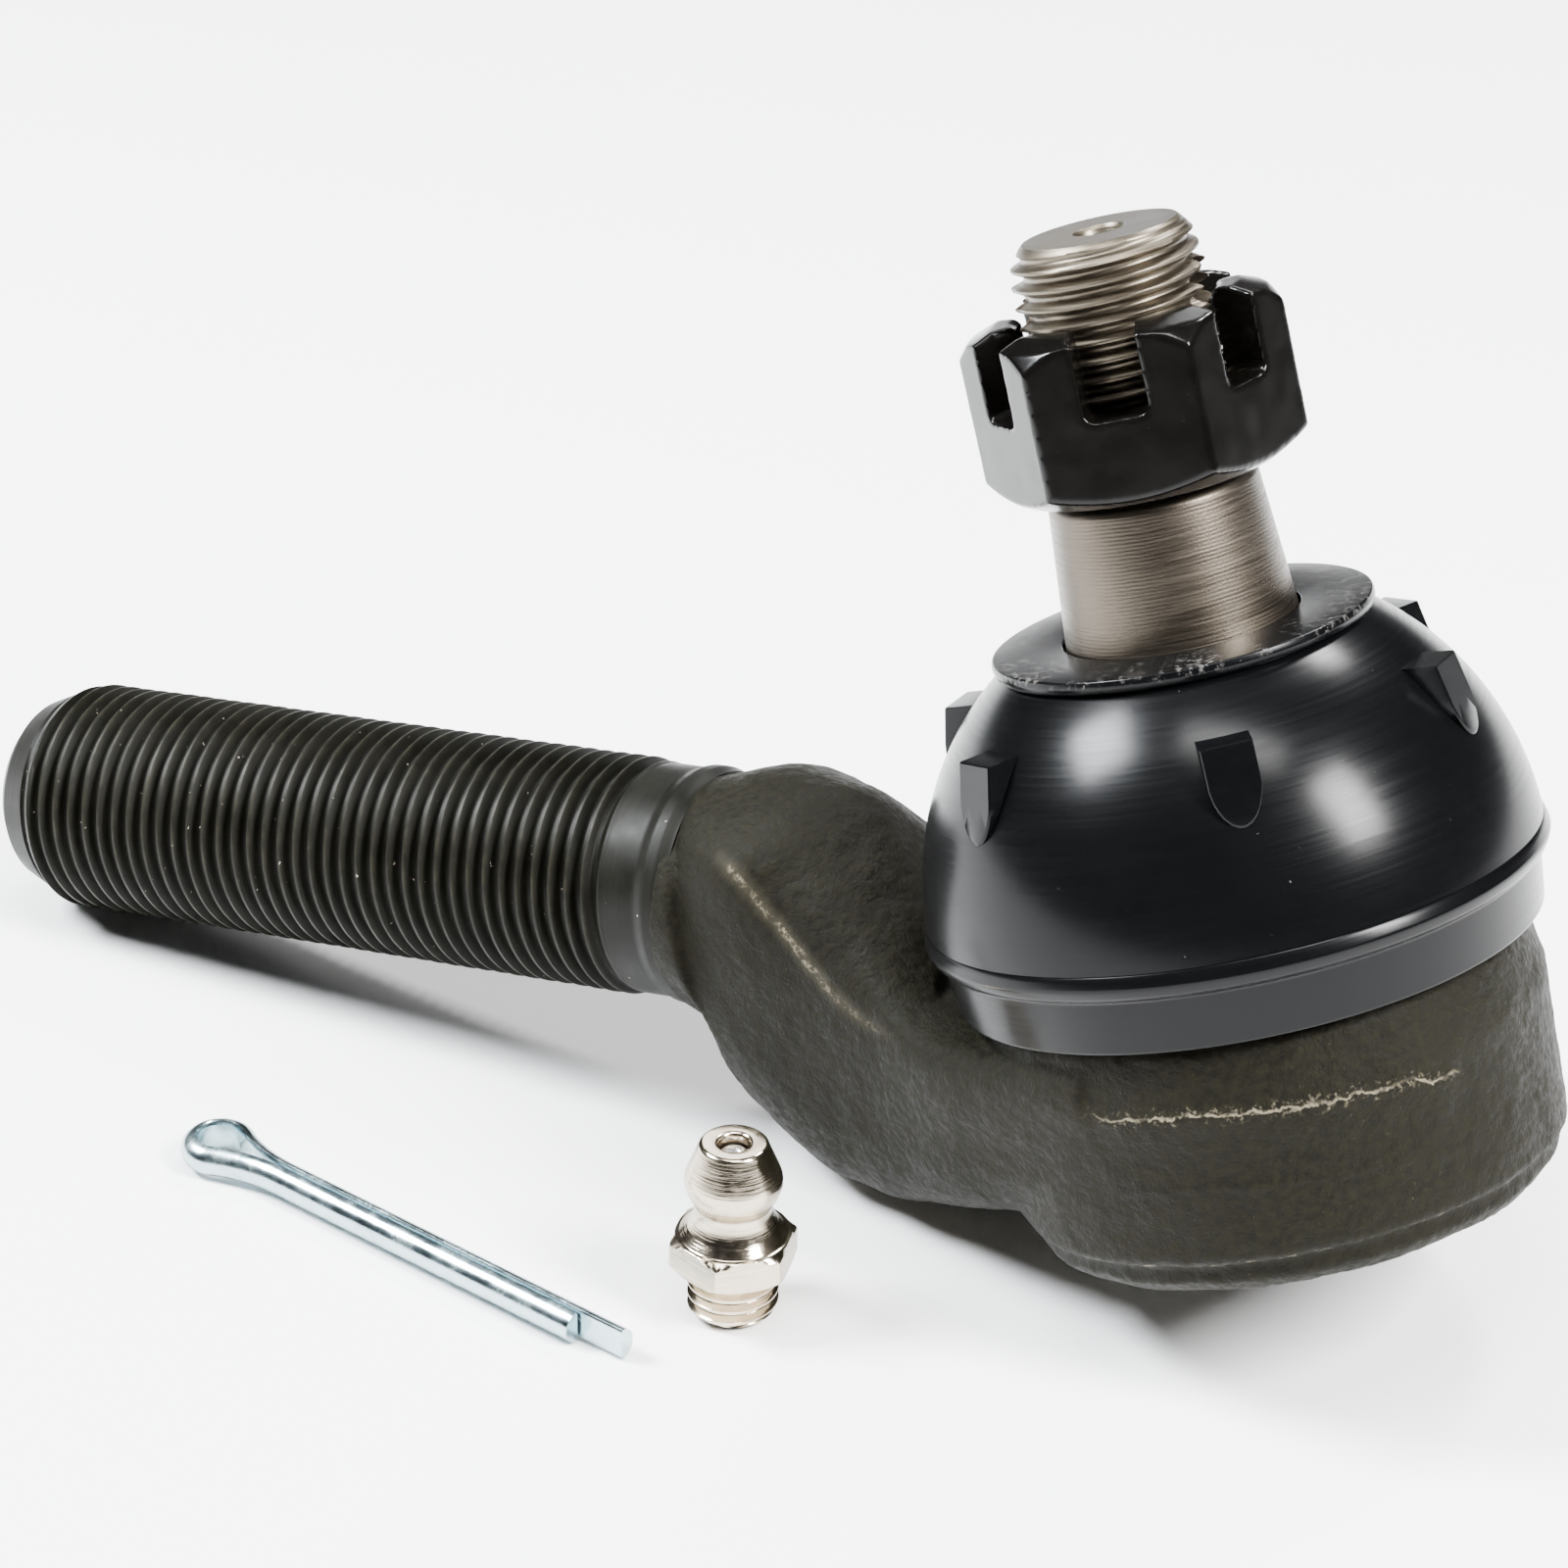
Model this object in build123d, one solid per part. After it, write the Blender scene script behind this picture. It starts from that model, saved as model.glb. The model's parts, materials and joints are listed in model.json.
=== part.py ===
from build123d import *
import os
from math import acos, atan2, cos, degrees, hypot, pi, radians, sin, sqrt

# Outer tie rod end with its castle nut, cotter pin and grease fitting.  Millimetres.
#
# Design frame: the ball's centre is the origin, +Z is the socket axis towards the stud, and the
# threaded shank runs towards -X on a line through the ball's centre.  rest_location() then lays
# the finished parts down: the arm's underside and the shank's free end rest on the plane Z = 0.

# ---------------------------------------------------------------- ball joint
BALL_R = 10.3                 # 13/16 in ball
RUNNING_GAP = 0.05
SHELL_WALL = 1.2
SHELL_IN_R = BALL_R + RUNNING_GAP
SHELL_OUT_R = SHELL_IN_R + SHELL_WALL
SEAT_R = SHELL_OUT_R + RUNNING_GAP

# ---------------------------------------------------------------- stud
NECK_R = 6.0
TAPER_TOP_Z = 34.0
TAPER_TOP_R = 7.1
TAPER_PER_MM = 1.0 / 12.0     # radius gained per millimetre: 2 in per foot on diameter
TAPER_FOOT_Z = 21.6
STUD_THREAD_R = 12.5 / 2      # 1/2-20 UNF
STUD_PITCH = 25.4 / 20
STUD_TIP_Z = 51.6
STUD_RELIEF_R = 5.4
STUD_TIP_FACE_R = 5.2
STUD_TIP_CHAMFER = 1.0
CENTRE_HOLE_R = 1.55
CENTRE_HOLE_DEPTH = 3.2
CROSS_HOLE_R = 1.75
CROSS_HOLE_Z = 46.9
CROSS_HOLE_AZIMUTH = 21.0

# ---------------------------------------------------------------- castle nut
NUT_FLATS = 19.05             # 3/4 in
NUT_LOW_Z = 34.9
NUT_HEIGHT = 11.7
NUT_SLOT_WIDTH = 4.2
NUT_SLOT_DEPTH = 5.8
NUT_SLOT_CORNER_R = 0.7
NUT_AZIMUTH = 21.4
NUT_BORE_R = STUD_THREAD_R + RUNNING_GAP

# ---------------------------------------------------------------- shank
SHANK_RISE = 10.0             # degrees the shank climbs above the socket's normal plane
SHANK_THREAD_R = 17.4625 / 2  # 11/16-18
SHANK_PITCH = 25.4 / 18
SHANK_END = 103.9             # distances along the shank axis from the ball's centre
SHANK_THREAD_END = 99.4
SHANK_THREAD_START = 48.4
SHANK_END_FACE_R = 6.2
COLLAR_R = 8.45
COLLAR_START = 43.6
FORGING_STEP = 0.2            # the forging stands this much proud of the turned collar

# ---------------------------------------------------------------- socket
SOCKET_TOP_Z = 1.2
SOCKET_TOP_R = 18.9
PARTING_Z = -6.4
PARTING_R = 19.35
SOCKET_LOW_Z = -14.2
SOCKET_LOW_R = 19.1
SOCKET_EDGE_R = 0.6
HUB_R = 18.4
HUB_TOP_Z = 7.4
LIP_R = 18.2
LIP_LOW_Z = -16.6
LIP_INNER_R = 13.7
BORE_R = 13.26
COVER_R = 15.5
COVER_TOP_Z = -14.1
COVER_LOW_Z = -15.6
COVER_POCKET_R = COVER_R + RUNNING_GAP
SEAT_TOP_POLAR = 64.0         # degrees from +Z where the spherical seat ends
MOUTH_R = 11.6

# ---------------------------------------------------------------- seat, spring and cover
PRESSURE_SEAT_R = BORE_R - 0.06
PRESSURE_SEAT_TOP_Z = -3.6
PRESSURE_SEAT_LOW_Z = -12.8
PRESSURE_SEAT_HOLE_R = 5.7
SPRING_WALL = 0.7
SPRING_IN_R = 6.4
SPRING_OUT_R = 12.6
COVER_BOSS_R = 4.9
COVER_BOSS_TOP_Z = -12.0
FITTING_TAP_R = 2.75          # tapping-drill radius of 1/4-28

# ---------------------------------------------------------------- boot
DISC_Z = 24.6
DISC_R = 13.05
DISC_WALL = 0.9
DOME_R = 21.2                 # the dome is part of a sphere centred a little above the bead
DOME_CENTRE_Z = 6.4
BEAD_Z = 6.4
BEAD_R = 21.55
SKIRT_R = 20.6
SKIRT_LOW_R = 20.25
SKIRT_LOW_Z = 1.45
BOOT_WALL = 2.0
LUG_COUNT = 6
LUG_TOP_Z = 20.5
LUG_SHOULDER_Z = 18.2
LUG_LOW_Z = 15.2
LUG_WIDTH = 3.5
LUG_TOP_R = 18.2
LUG_LOW_R = 19.45
LUG_AZIMUTH = -57.0
CLAMP_RING_WALL = 0.8
CLAMP_RING_LOW_Z = 2.1
CLAMP_RING_HEIGHT = 2.9
TOP_RING_LOW_Z = 21.8
TOP_RING_HEIGHT = 1.7
TOP_RING_OUT_R = 10.6

# ---------------------------------------------------------------- cotter pin
PIN_R = 1.2
PIN_GAP = 0.1                 # from the pin's middle to each leg's flat side
PIN_SHORT_LEG = 27.8
PIN_LONG_LEG = 31.6
PIN_LOOP_R = 1.6
PIN_BEND_R = 13.0

# ---------------------------------------------------------------- grease fitting
FITTING_THREAD_R = 3.175      # 1/4-28
FITTING_PITCH = 25.4 / 28
FITTING_HEX_FLATS = 7.94      # 5/16 in
FITTING_HEX_LOW = 3.7
FITTING_HEX_HEIGHT = 2.3
FITTING_HEIGHT = 13.6
FITTING_HEAD_R = 3.4
FITTING_HEAD_Z = 10.2
FITTING_NECK_R = 2.65
FITTING_NECK_Z = 8.3
FITTING_TOP_R = 2.35
FITTING_MOUTH_R = 1.1
FITTING_BORE_R = 1.45
FITTING_FOOT_HOLE_R = 0.8
CHECK_BALL_R = 1.3
CHECK_WIRE_R = 0.16
CHECK_COIL_R = 1.05
CHECK_COIL_TURNS = 6

# ---------------------------------------------------------------- how the set lies on the floor
REST_TILT = 18.8              # degrees the stud leans back over the shank
REST_ROLL = 5.5               # degrees the stud leans away to the far side, +Y
FITTING_PLACE = (-26.8, -23.9)
FITTING_TURN = -14.5
PIN_PLACE = (-61.3, -28.7)
PIN_TURN = -8.4


def revolved(points, axis=Axis.Z):
    """Solid of revolution about Z from (radius, height) points."""
    outline = Polyline(*[(r, 0, z) for r, z in points], close=True)
    return revolve(make_face(outline), axis, 360)


def polar_point(radius, polar):
    """(radius, height) of a point on a sphere, polar degrees measured from +Z."""
    return (radius * sin(radians(polar)), radius * cos(radians(polar)))


def arc_points(radius, polar_from, polar_to, steps=24):
    """(radius, height) points along a sphere's meridian."""
    span = polar_to - polar_from
    return [polar_point(radius, polar_from + span * i / steps) for i in range(steps + 1)]


def sphere_zone(inner_r, outer_r, polar_from, polar_to):
    """Spherical shell between two cones from its centre."""
    reach = 3 * outer_r
    cone = revolved([(0, 0), polar_point(reach, polar_from), polar_point(reach, polar_to)])
    return (Sphere(outer_r) - Sphere(inner_r)) & cone


def thread_profile(major_r, pitch, low, high):
    """(radius, height) corners of annular 60-degree grooves that leave flat crests."""
    crest = pitch / 4
    root_r = major_r - 0.5 * pitch
    count = int((high - low - crest) / pitch)
    points = []
    for i in range(count):
        start = low + i * pitch
        points += [(major_r, start), (major_r, start + crest), (root_r, start + (crest + pitch) / 2)]
    return points + [(major_r, low + count * pitch), (major_r, high)]


def taper_r(z):
    return TAPER_TOP_R + (TAPER_TOP_Z - z) * TAPER_PER_MM


def make_ball_stud():
    neck_z = sqrt(BALL_R**2 - NECK_R**2)
    thread_low = TAPER_TOP_Z + 2.0
    outline = [(0, 0), (NECK_R, neck_z), (NECK_R, TAPER_FOOT_Z - 3.4), (taper_r(TAPER_FOOT_Z), TAPER_FOOT_Z)]
    outline += [(TAPER_TOP_R, TAPER_TOP_Z), (TAPER_TOP_R - 0.4, TAPER_TOP_Z + 0.4)]
    outline += [(STUD_RELIEF_R, TAPER_TOP_Z + 0.4), (STUD_RELIEF_R, thread_low - 0.5)]
    outline += thread_profile(STUD_THREAD_R, STUD_PITCH, thread_low, STUD_TIP_Z - STUD_TIP_CHAMFER)
    outline += [(STUD_TIP_FACE_R, STUD_TIP_Z), (0, STUD_TIP_Z)]
    stud = Sphere(BALL_R) + revolved(outline)
    drill = Pos(0, 0, STUD_TIP_Z - CENTRE_HOLE_DEPTH / 2) * Cylinder(CENTRE_HOLE_R, CENTRE_HOLE_DEPTH)
    cross = Pos(0, 0, CROSS_HOLE_Z) * Rot(0, 0, CROSS_HOLE_AZIMUTH) * Rot(0, 90, 0)
    return stud - drill - cross * Cylinder(CROSS_HOLE_R, 4 * STUD_THREAD_R)


def make_castle_nut():
    high = NUT_LOW_Z + NUT_HEIGHT
    corner_r = NUT_FLATS / sqrt(3)
    body = extrude(RegularPolygon(NUT_FLATS / 2, 6, major_radius=False), NUT_HEIGHT)
    body = Pos(0, 0, NUT_LOW_Z) * Rot(0, 0, 30) * body
    envelope = revolved([
        (0, NUT_LOW_Z), (NUT_FLATS / 2 - 0.8, NUT_LOW_Z), (corner_r, NUT_LOW_Z + 1.3),
        (corner_r, high - 1.9), (corner_r - 0.9, high - 0.7), (NUT_FLATS / 2 - 1.2, high), (0, high),
    ])
    body = body & envelope
    body -= Pos(0, 0, NUT_LOW_Z + NUT_HEIGHT / 2) * Cylinder(NUT_BORE_R, NUT_HEIGHT + 2)
    for low_end in (False, True):
        body -= nut_bore_chamfer(low_end)
    for i in range(6):
        body -= Rot(0, 0, 60 * i) * nut_slot(high)
    return Rot(0, 0, NUT_AZIMUTH + 30) * body


def nut_bore_chamfer(low_end):
    wide = NUT_BORE_R + 0.7
    face_z = NUT_LOW_Z if low_end else NUT_LOW_Z + NUT_HEIGHT
    inward = 0.7 if low_end else -0.7
    return revolved([(0, face_z), (wide, face_z), (NUT_BORE_R - 0.01, face_z + inward), (0, face_z + inward)])


def nut_slot(crown_z):
    """One slot through the crown, open at the top, rounded in its bottom corners."""
    tall = 2 * NUT_SLOT_DEPTH
    outline = Plane.YZ * Pos(0, crown_z) * RectangleRounded(NUT_SLOT_WIDTH, tall, NUT_SLOT_CORNER_R)
    return extrude(outline, NUT_FLATS)


def make_shank():
    """Turned and threaded shank about +Z; turn_to_shank() points it along the real line."""
    root = COLLAR_START - 0.6
    outline = [(0, root), (COLLAR_R, root), (COLLAR_R, SHANK_THREAD_START - 0.4)]
    outline += thread_profile(SHANK_THREAD_R, SHANK_PITCH, SHANK_THREAD_START, SHANK_THREAD_END)
    outline += [(SHANK_THREAD_R - 0.7, SHANK_THREAD_END + 1.3), (SHANK_THREAD_R - 1.6, SHANK_END - 0.9)]
    outline += [(SHANK_END_FACE_R, SHANK_END), (0, SHANK_END)]
    return revolved(outline)


def turn_to_shank():
    return Rot(0, SHANK_RISE - 90, 0)


# Forged arm from the shank's collar down to the socket, cut by planes of constant X:
# (x, lowest z, z where the flat side ends, highest z, half width, squareness of the lower half)
ARM_STATIONS = [
    (-40.5, -6.4, 6.8, 15.5, 8.6, 2.4),
    (-37.0, -11.4, 11.0, 15.8, 8.6, 3.6),
    (-33.5, -13.5, 10.2, 15.6, 8.9, 4.6),
    (-29.5, -14.7, 4.6, 14.2, 9.4, 5.0),
    (-26.0, -14.9, 1.3, 10.6, 10.4, 5.0),
    (-22.6, -14.8, 0.0, 5.2, 11.8, 5.0),
    (-18.0, -14.4, -0.6, 1.1, 13.7, 5.0),
    (-13.0, -14.0, -0.6, 0.9, 15.6, 5.0),
    (-8.0, -13.8, -0.4, 0.9, 17.4, 5.0),
    (-4.0, -13.6, -0.4, 0.8, 18.4, 5.0),
]
ARM_CROWN_POWER = 1.75        # below 2 the crown slopes like a roof and the flat side ends in an edge
ARM_POINTS = 32
BOOT_ROOM = 0.35              # the arm stays this far clear of the boot's bead


def arm_section(x, low, shoulder, high, half_width, squareness):
    """Closed outline with a squarish lower half and a rounded upper half."""
    points = []
    for i in range(ARM_POINTS):
        angle = 2 * pi * i / ARM_POINTS
        upper = sin(angle) >= 0
        power = 2 / (ARM_CROWN_POWER if upper else squareness)
        height = high - shoulder if upper else shoulder - low
        y = half_width * abs(cos(angle)) ** power * (1 if cos(angle) >= 0 else -1)
        z = shoulder + height * abs(sin(angle)) ** power * (1 if upper else -1)
        points.append((x, y, z))
    return make_face(Spline(*points, periodic=True))


def collar_section():
    """Circle where the arm meets the turned collar, pointed like the arm's other sections."""
    radius = COLLAR_R + FORGING_STEP
    points = []
    for i in range(ARM_POINTS):
        angle = 2 * pi * i / ARM_POINTS
        local = Vector(radius * sin(angle), radius * cos(angle), COLLAR_START)
        points.append(tuple(local.rotate(Axis.Y, SHANK_RISE - 90)))
    return make_face(Spline(*points, periodic=True))


def make_arm():
    sections = [collar_section()] + [arm_section(*station) for station in ARM_STATIONS]
    tall = 30.0
    boot_room = Pos(0, 0, SOCKET_TOP_Z + tall / 2) * Cylinder(BEAD_R + BOOT_ROOM, tall)
    return loft(sections) - boot_room


def make_socket_blank():
    """Outside of the forged socket, before its bore is cut."""
    edge = [
        (SOCKET_LOW_R - SOCKET_EDGE_R * (1 - sin(turn)), SOCKET_LOW_Z + SOCKET_EDGE_R * (1 - cos(turn)))
        for turn in (0, pi / 8, pi / 4, 3 * pi / 8, pi / 2)
    ]
    return revolved([
        (0, SOCKET_LOW_Z), (LIP_R, SOCKET_LOW_Z), *edge,
        (PARTING_R, PARTING_Z), (SOCKET_TOP_R + 0.6, PARTING_Z / 2), (SOCKET_TOP_R, SOCKET_TOP_Z - 0.6),
        (SOCKET_TOP_R - 0.6, SOCKET_TOP_Z),
        (HUB_R, SOCKET_TOP_Z), (HUB_R, HUB_TOP_Z - 3.4), (HUB_R - 4.2, HUB_TOP_Z), (0, HUB_TOP_Z),
    ])


def make_lip():
    """Crimped rim that holds the cover plate."""
    return revolved([
        (COVER_POCKET_R, SOCKET_LOW_Z + 1), (COVER_POCKET_R, COVER_LOW_Z), (LIP_INNER_R, COVER_LOW_Z),
        (LIP_INNER_R + 0.5, LIP_LOW_Z), (LIP_R - 1.0, LIP_LOW_Z), (LIP_R, LIP_LOW_Z + 1.0),
        (LIP_R, SOCKET_LOW_Z + 1),
    ])


def make_socket_cavity():
    """Space inside the socket: stud mouth, spherical seat, seat bore and cover pocket."""
    seat_top_r, seat_top_z = polar_point(SEAT_R, SEAT_TOP_POLAR)
    mouth = revolved([(0, 0), (seat_top_r, seat_top_z), (MOUTH_R, HUB_TOP_Z + 1), (0, HUB_TOP_Z + 1)])
    bore = revolved([
        (0, 0), (BORE_R, -1.0), (BORE_R, COVER_TOP_Z), (COVER_POCKET_R, COVER_TOP_Z),
        (COVER_POCKET_R, SOCKET_LOW_Z - 1), (0, SOCKET_LOW_Z - 1),
    ])
    return mouth + Sphere(SEAT_R) + bore


def make_housing():
    body = make_socket_blank() + make_arm() + turn_to_shank() * make_shank()
    return body - make_socket_cavity() + make_lip()


def make_upper_shell():
    return sphere_zone(SHELL_IN_R, SHELL_OUT_R, 57.5, 88.5)


def make_lower_shell():
    return sphere_zone(SHELL_IN_R, SHELL_OUT_R, 91.5, 150.0)


def make_pressure_seat():
    cup = revolved([
        (PRESSURE_SEAT_HOLE_R, PRESSURE_SEAT_LOW_Z), (PRESSURE_SEAT_R - 0.8, PRESSURE_SEAT_LOW_Z),
        (PRESSURE_SEAT_R, PRESSURE_SEAT_LOW_Z + 0.8), (PRESSURE_SEAT_R, PRESSURE_SEAT_TOP_Z),
        (PRESSURE_SEAT_HOLE_R, PRESSURE_SEAT_TOP_Z),
    ])
    return cup - Sphere(SEAT_R)


def make_disc_spring():
    """Conical spring washer between the cover plate and the pressure seat."""
    top = PRESSURE_SEAT_LOW_Z - 0.01
    low = COVER_TOP_Z + 0.01
    return revolved([
        (SPRING_IN_R, top - SPRING_WALL), (SPRING_OUT_R, low), (SPRING_OUT_R, low + SPRING_WALL),
        (SPRING_IN_R + 1.0, top), (SPRING_IN_R, top),
    ])


def make_cover_plate():
    plate = revolved([
        (0, COVER_LOW_Z), (COVER_R, COVER_LOW_Z), (COVER_R, COVER_TOP_Z), (COVER_BOSS_R + 0.6, COVER_TOP_Z),
        (COVER_BOSS_R, COVER_BOSS_TOP_Z), (0, COVER_BOSS_TOP_Z),
    ])
    return plate - Pos(0, 0, COVER_LOW_Z) * Cylinder(FITTING_TAP_R, 4 * abs(COVER_LOW_Z - COVER_BOSS_TOP_Z))


def dome_points(inset, steps=20):
    """(radius, height) points of the dome from the bead up to the disc, moved inwards by inset."""
    radius = DOME_R - inset
    low_polar = degrees(acos((BEAD_Z + 0.9 - DOME_CENTRE_Z) / radius))
    top_polar = degrees(acos((DISC_Z - DISC_WALL - inset - DOME_CENTRE_Z) / radius))
    return [(r, z + DOME_CENTRE_Z) for r, z in arc_points(radius, low_polar, top_polar, steps)]


def make_boot():
    ring_low = TOP_RING_LOW_Z - 0.9
    grip_r = taper_r(TOP_RING_LOW_Z) + RUNNING_GAP
    outside = [(SKIRT_LOW_R, SKIRT_LOW_Z), (SKIRT_R, BEAD_Z - 1.3), (BEAD_R - 0.4, BEAD_Z - 0.7)]
    outside += [(BEAD_R, BEAD_Z), (BEAD_R - 0.2, BEAD_Z + 0.6)]
    outside += dome_points(0)
    outside += [(DISC_R - 0.15, DISC_Z - DISC_WALL), (DISC_R, DISC_Z - DISC_WALL / 2), (DISC_R - 0.1, DISC_Z)]
    top = [(taper_r(DISC_Z) + RUNNING_GAP, DISC_Z), (grip_r + 0.02, TOP_RING_LOW_Z + TOP_RING_HEIGHT + 0.03)]
    top += [(TOP_RING_OUT_R + 0.02, TOP_RING_LOW_Z + TOP_RING_HEIGHT + 0.03)]
    top += [(TOP_RING_OUT_R + 0.02, TOP_RING_LOW_Z - 0.03), (grip_r + 0.1, TOP_RING_LOW_Z - 0.03)]
    top += [(grip_r + 0.3, ring_low)]
    inside = [point for point in reversed(dome_points(BOOT_WALL)) if point[1] < ring_low - 0.5]
    inside += [(HUB_R + 0.3, BEAD_Z + 0.4)]
    ring_out_r = HUB_R + 0.03 + CLAMP_RING_WALL + 0.02
    ring_top_z = CLAMP_RING_LOW_Z + CLAMP_RING_HEIGHT
    inside += [(HUB_R + 0.03, ring_top_z + 0.03), (ring_out_r, ring_top_z + 0.03)]
    inside += [(ring_out_r, CLAMP_RING_LOW_Z - 0.03), (HUB_R + 0.03, CLAMP_RING_LOW_Z - 0.03)]
    inside += [(HUB_R + 0.03, SKIRT_LOW_Z)]
    boot = revolved(outside + top + inside)
    for i in range(LUG_COUNT):
        boot += Rot(0, 0, LUG_AZIMUTH + 360 * i / LUG_COUNT) * make_lug()
    return boot


def make_lug():
    """Shield-shaped wedge on the dome: flat on top, running out to a rounded chin below."""
    half = LUG_WIDTH / 2
    root_r = LUG_TOP_R - 4.5
    chin_z = (LUG_SHOULDER_Z + 3 * LUG_LOW_Z) / 4
    outline = [(half, LUG_TOP_Z), (half, LUG_SHOULDER_Z), (0.6 * half, chin_z), (0, LUG_LOW_Z)]
    outline += [(-y, z) for y, z in reversed(outline[:-1])]
    shield = Polyline(*[(LUG_LOW_R, y, z) for y, z in outline], close=True)
    block = extrude(make_face(shield), LUG_LOW_R - root_r, dir=(-1, 0, 0))
    side = Polyline(
        (root_r, 0, LUG_LOW_Z), (LUG_LOW_R, 0, LUG_LOW_Z), (LUG_TOP_R, 0, LUG_TOP_Z), (root_r, 0, LUG_TOP_Z),
        close=True,
    )
    return block & extrude(make_face(side), LUG_WIDTH, both=True)


def ring(inner_r, outer_r, low, height):
    return Pos(0, 0, low + height / 2) * (Cylinder(outer_r, height) - Cylinder(inner_r, height))


def make_boot_clamp_ring():
    inner = HUB_R + 0.03
    return ring(inner, inner + CLAMP_RING_WALL, CLAMP_RING_LOW_Z, CLAMP_RING_HEIGHT)


def make_boot_top_ring():
    inner = taper_r(TOP_RING_LOW_Z) + RUNNING_GAP
    return ring(inner, TOP_RING_OUT_R, TOP_RING_LOW_Z, TOP_RING_HEIGHT)


def make_cotter_pin():
    """Split pin lying flat: two half-round legs of one wire, bent round an eye.  Legs along +X."""
    bend_y = PIN_GAP + PIN_BEND_R
    reach = sqrt((PIN_BEND_R + PIN_LOOP_R) ** 2 - bend_y**2)
    tangent = atan2(bend_y, reach)
    half_turn = (pi / 2 - tangent) / 2

    def bend_point(angle, side):
        return (-PIN_BEND_R * sin(angle), side * (bend_y - PIN_BEND_R * cos(angle)))

    joins = [(-reach + PIN_LOOP_R * cos(tangent), side * PIN_LOOP_R * sin(tangent)) for side in (1, -1)]
    path = Line((PIN_LONG_LEG, PIN_GAP), (0, PIN_GAP))
    path += ThreePointArc((0, PIN_GAP), bend_point(half_turn, 1), joins[0])
    path += ThreePointArc(joins[0], (-reach - PIN_LOOP_R, 0), joins[1])
    path += ThreePointArc(joins[1], bend_point(half_turn, -1), (0, -PIN_GAP))
    path += Line((0, -PIN_GAP), (PIN_SHORT_LEG, -PIN_GAP))
    start = Plane(origin=(PIN_LONG_LEG, PIN_GAP, 0), x_dir=(0, 1, 0), z_dir=(-1, 0, 0))
    half_round = make_face(Polyline((0, -PIN_R), (0, PIN_R)) + ThreePointArc((0, -PIN_R), (PIN_R, 0), (0, PIN_R)))
    return sweep(start * half_round, path=Wire(path.edges()))


def make_grease_fitting():
    """Straight fitting standing on its threaded end, foot at Z = 0."""
    hex_top = FITTING_HEX_LOW + FITTING_HEX_HEIGHT
    corner_r = FITTING_HEX_FLATS / sqrt(3)
    outline = [(0, 0), (FITTING_THREAD_R - 0.55, 0), (FITTING_THREAD_R - 0.1, 0.45)]
    outline += thread_profile(FITTING_THREAD_R, FITTING_PITCH, 0.5, FITTING_HEX_LOW - 0.5)
    outline += [(FITTING_THREAD_R - 0.3, FITTING_HEX_LOW - 0.4), (FITTING_THREAD_R - 0.3, FITTING_HEX_LOW)]
    outline += [(corner_r - 0.5, FITTING_HEX_LOW), (corner_r, FITTING_HEX_LOW + 0.3), (corner_r, hex_top - 0.6)]
    outline += [(FITTING_HEX_FLATS / 2 - 0.3, hex_top), (FITTING_NECK_R + 0.25, FITTING_NECK_Z - 0.7)]
    outline += [(FITTING_NECK_R, FITTING_NECK_Z), (FITTING_NECK_R + 0.2, FITTING_NECK_Z + 0.5)]
    outline += [(FITTING_HEAD_R, FITTING_HEAD_Z), (FITTING_HEAD_R, FITTING_HEAD_Z + 0.5)]
    outline += [(FITTING_TOP_R, FITTING_HEIGHT), (0, FITTING_HEIGHT)]
    body = revolved(outline)
    hexagon = extrude(RegularPolygon(FITTING_HEX_FLATS / 2, 6, major_radius=False), 3 * FITTING_HEIGHT)
    return (body & hexagon) - fitting_passage()


def fitting_passage():
    """Way through the fitting: mouth, ball chamber and a smaller hole at the foot."""
    ball_z = check_ball_z()
    bore_top = ball_z + 0.25
    return revolved([
        (0, -1), (FITTING_FOOT_HOLE_R, -1), (FITTING_FOOT_HOLE_R, 1.0), (FITTING_BORE_R, 1.0),
        (FITTING_BORE_R, bore_top), (FITTING_MOUTH_R, bore_top + 0.75), (FITTING_MOUTH_R, FITTING_HEIGHT + 1),
        (0, FITTING_HEIGHT + 1),
    ])


def check_ball_z():
    return FITTING_HEIGHT - 1.75


def make_check_ball():
    return Pos(0, 0, check_ball_z()) * Sphere(CHECK_BALL_R)


def make_check_spring():
    low = 1.0 + CHECK_WIRE_R + 0.01
    high = check_ball_z() - sqrt((CHECK_BALL_R + CHECK_WIRE_R) ** 2 - CHECK_COIL_R**2) - 0.03
    coil = Helix(pitch=(high - low) / CHECK_COIL_TURNS, height=high - low, radius=CHECK_COIL_R)
    wire = Plane(origin=coil @ 0, z_dir=coil % 0) * Circle(CHECK_WIRE_R)
    return Pos(0, 0, low) * sweep(wire, path=coil, is_frenet=True)


def rest_location(housing):
    """Design frame to floor frame, with the ball's centre straight above the floor frame's origin."""
    lean = Rot(-REST_ROLL, 0, 0) * Rot(0, -REST_TILT, 0)
    return Pos(0, 0, -(lean * housing).bounding_box().min.Z) * lean


JOINT_PARTS = {
    "housing": make_housing,
    "upper_shell": make_upper_shell,
    "lower_shell": make_lower_shell,
    "pressure_seat": make_pressure_seat,
    "disc_spring": make_disc_spring,
    "cover_plate": make_cover_plate,
    "ball_stud": make_ball_stud,
    "boot": make_boot,
    "boot_clamp_ring": make_boot_clamp_ring,
    "boot_top_ring": make_boot_top_ring,
    "castle_nut": make_castle_nut,
}
FITTING_PARTS = {
    "grease_fitting": make_grease_fitting,
    "check_ball": make_check_ball,
    "check_spring": make_check_spring,
}


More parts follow.
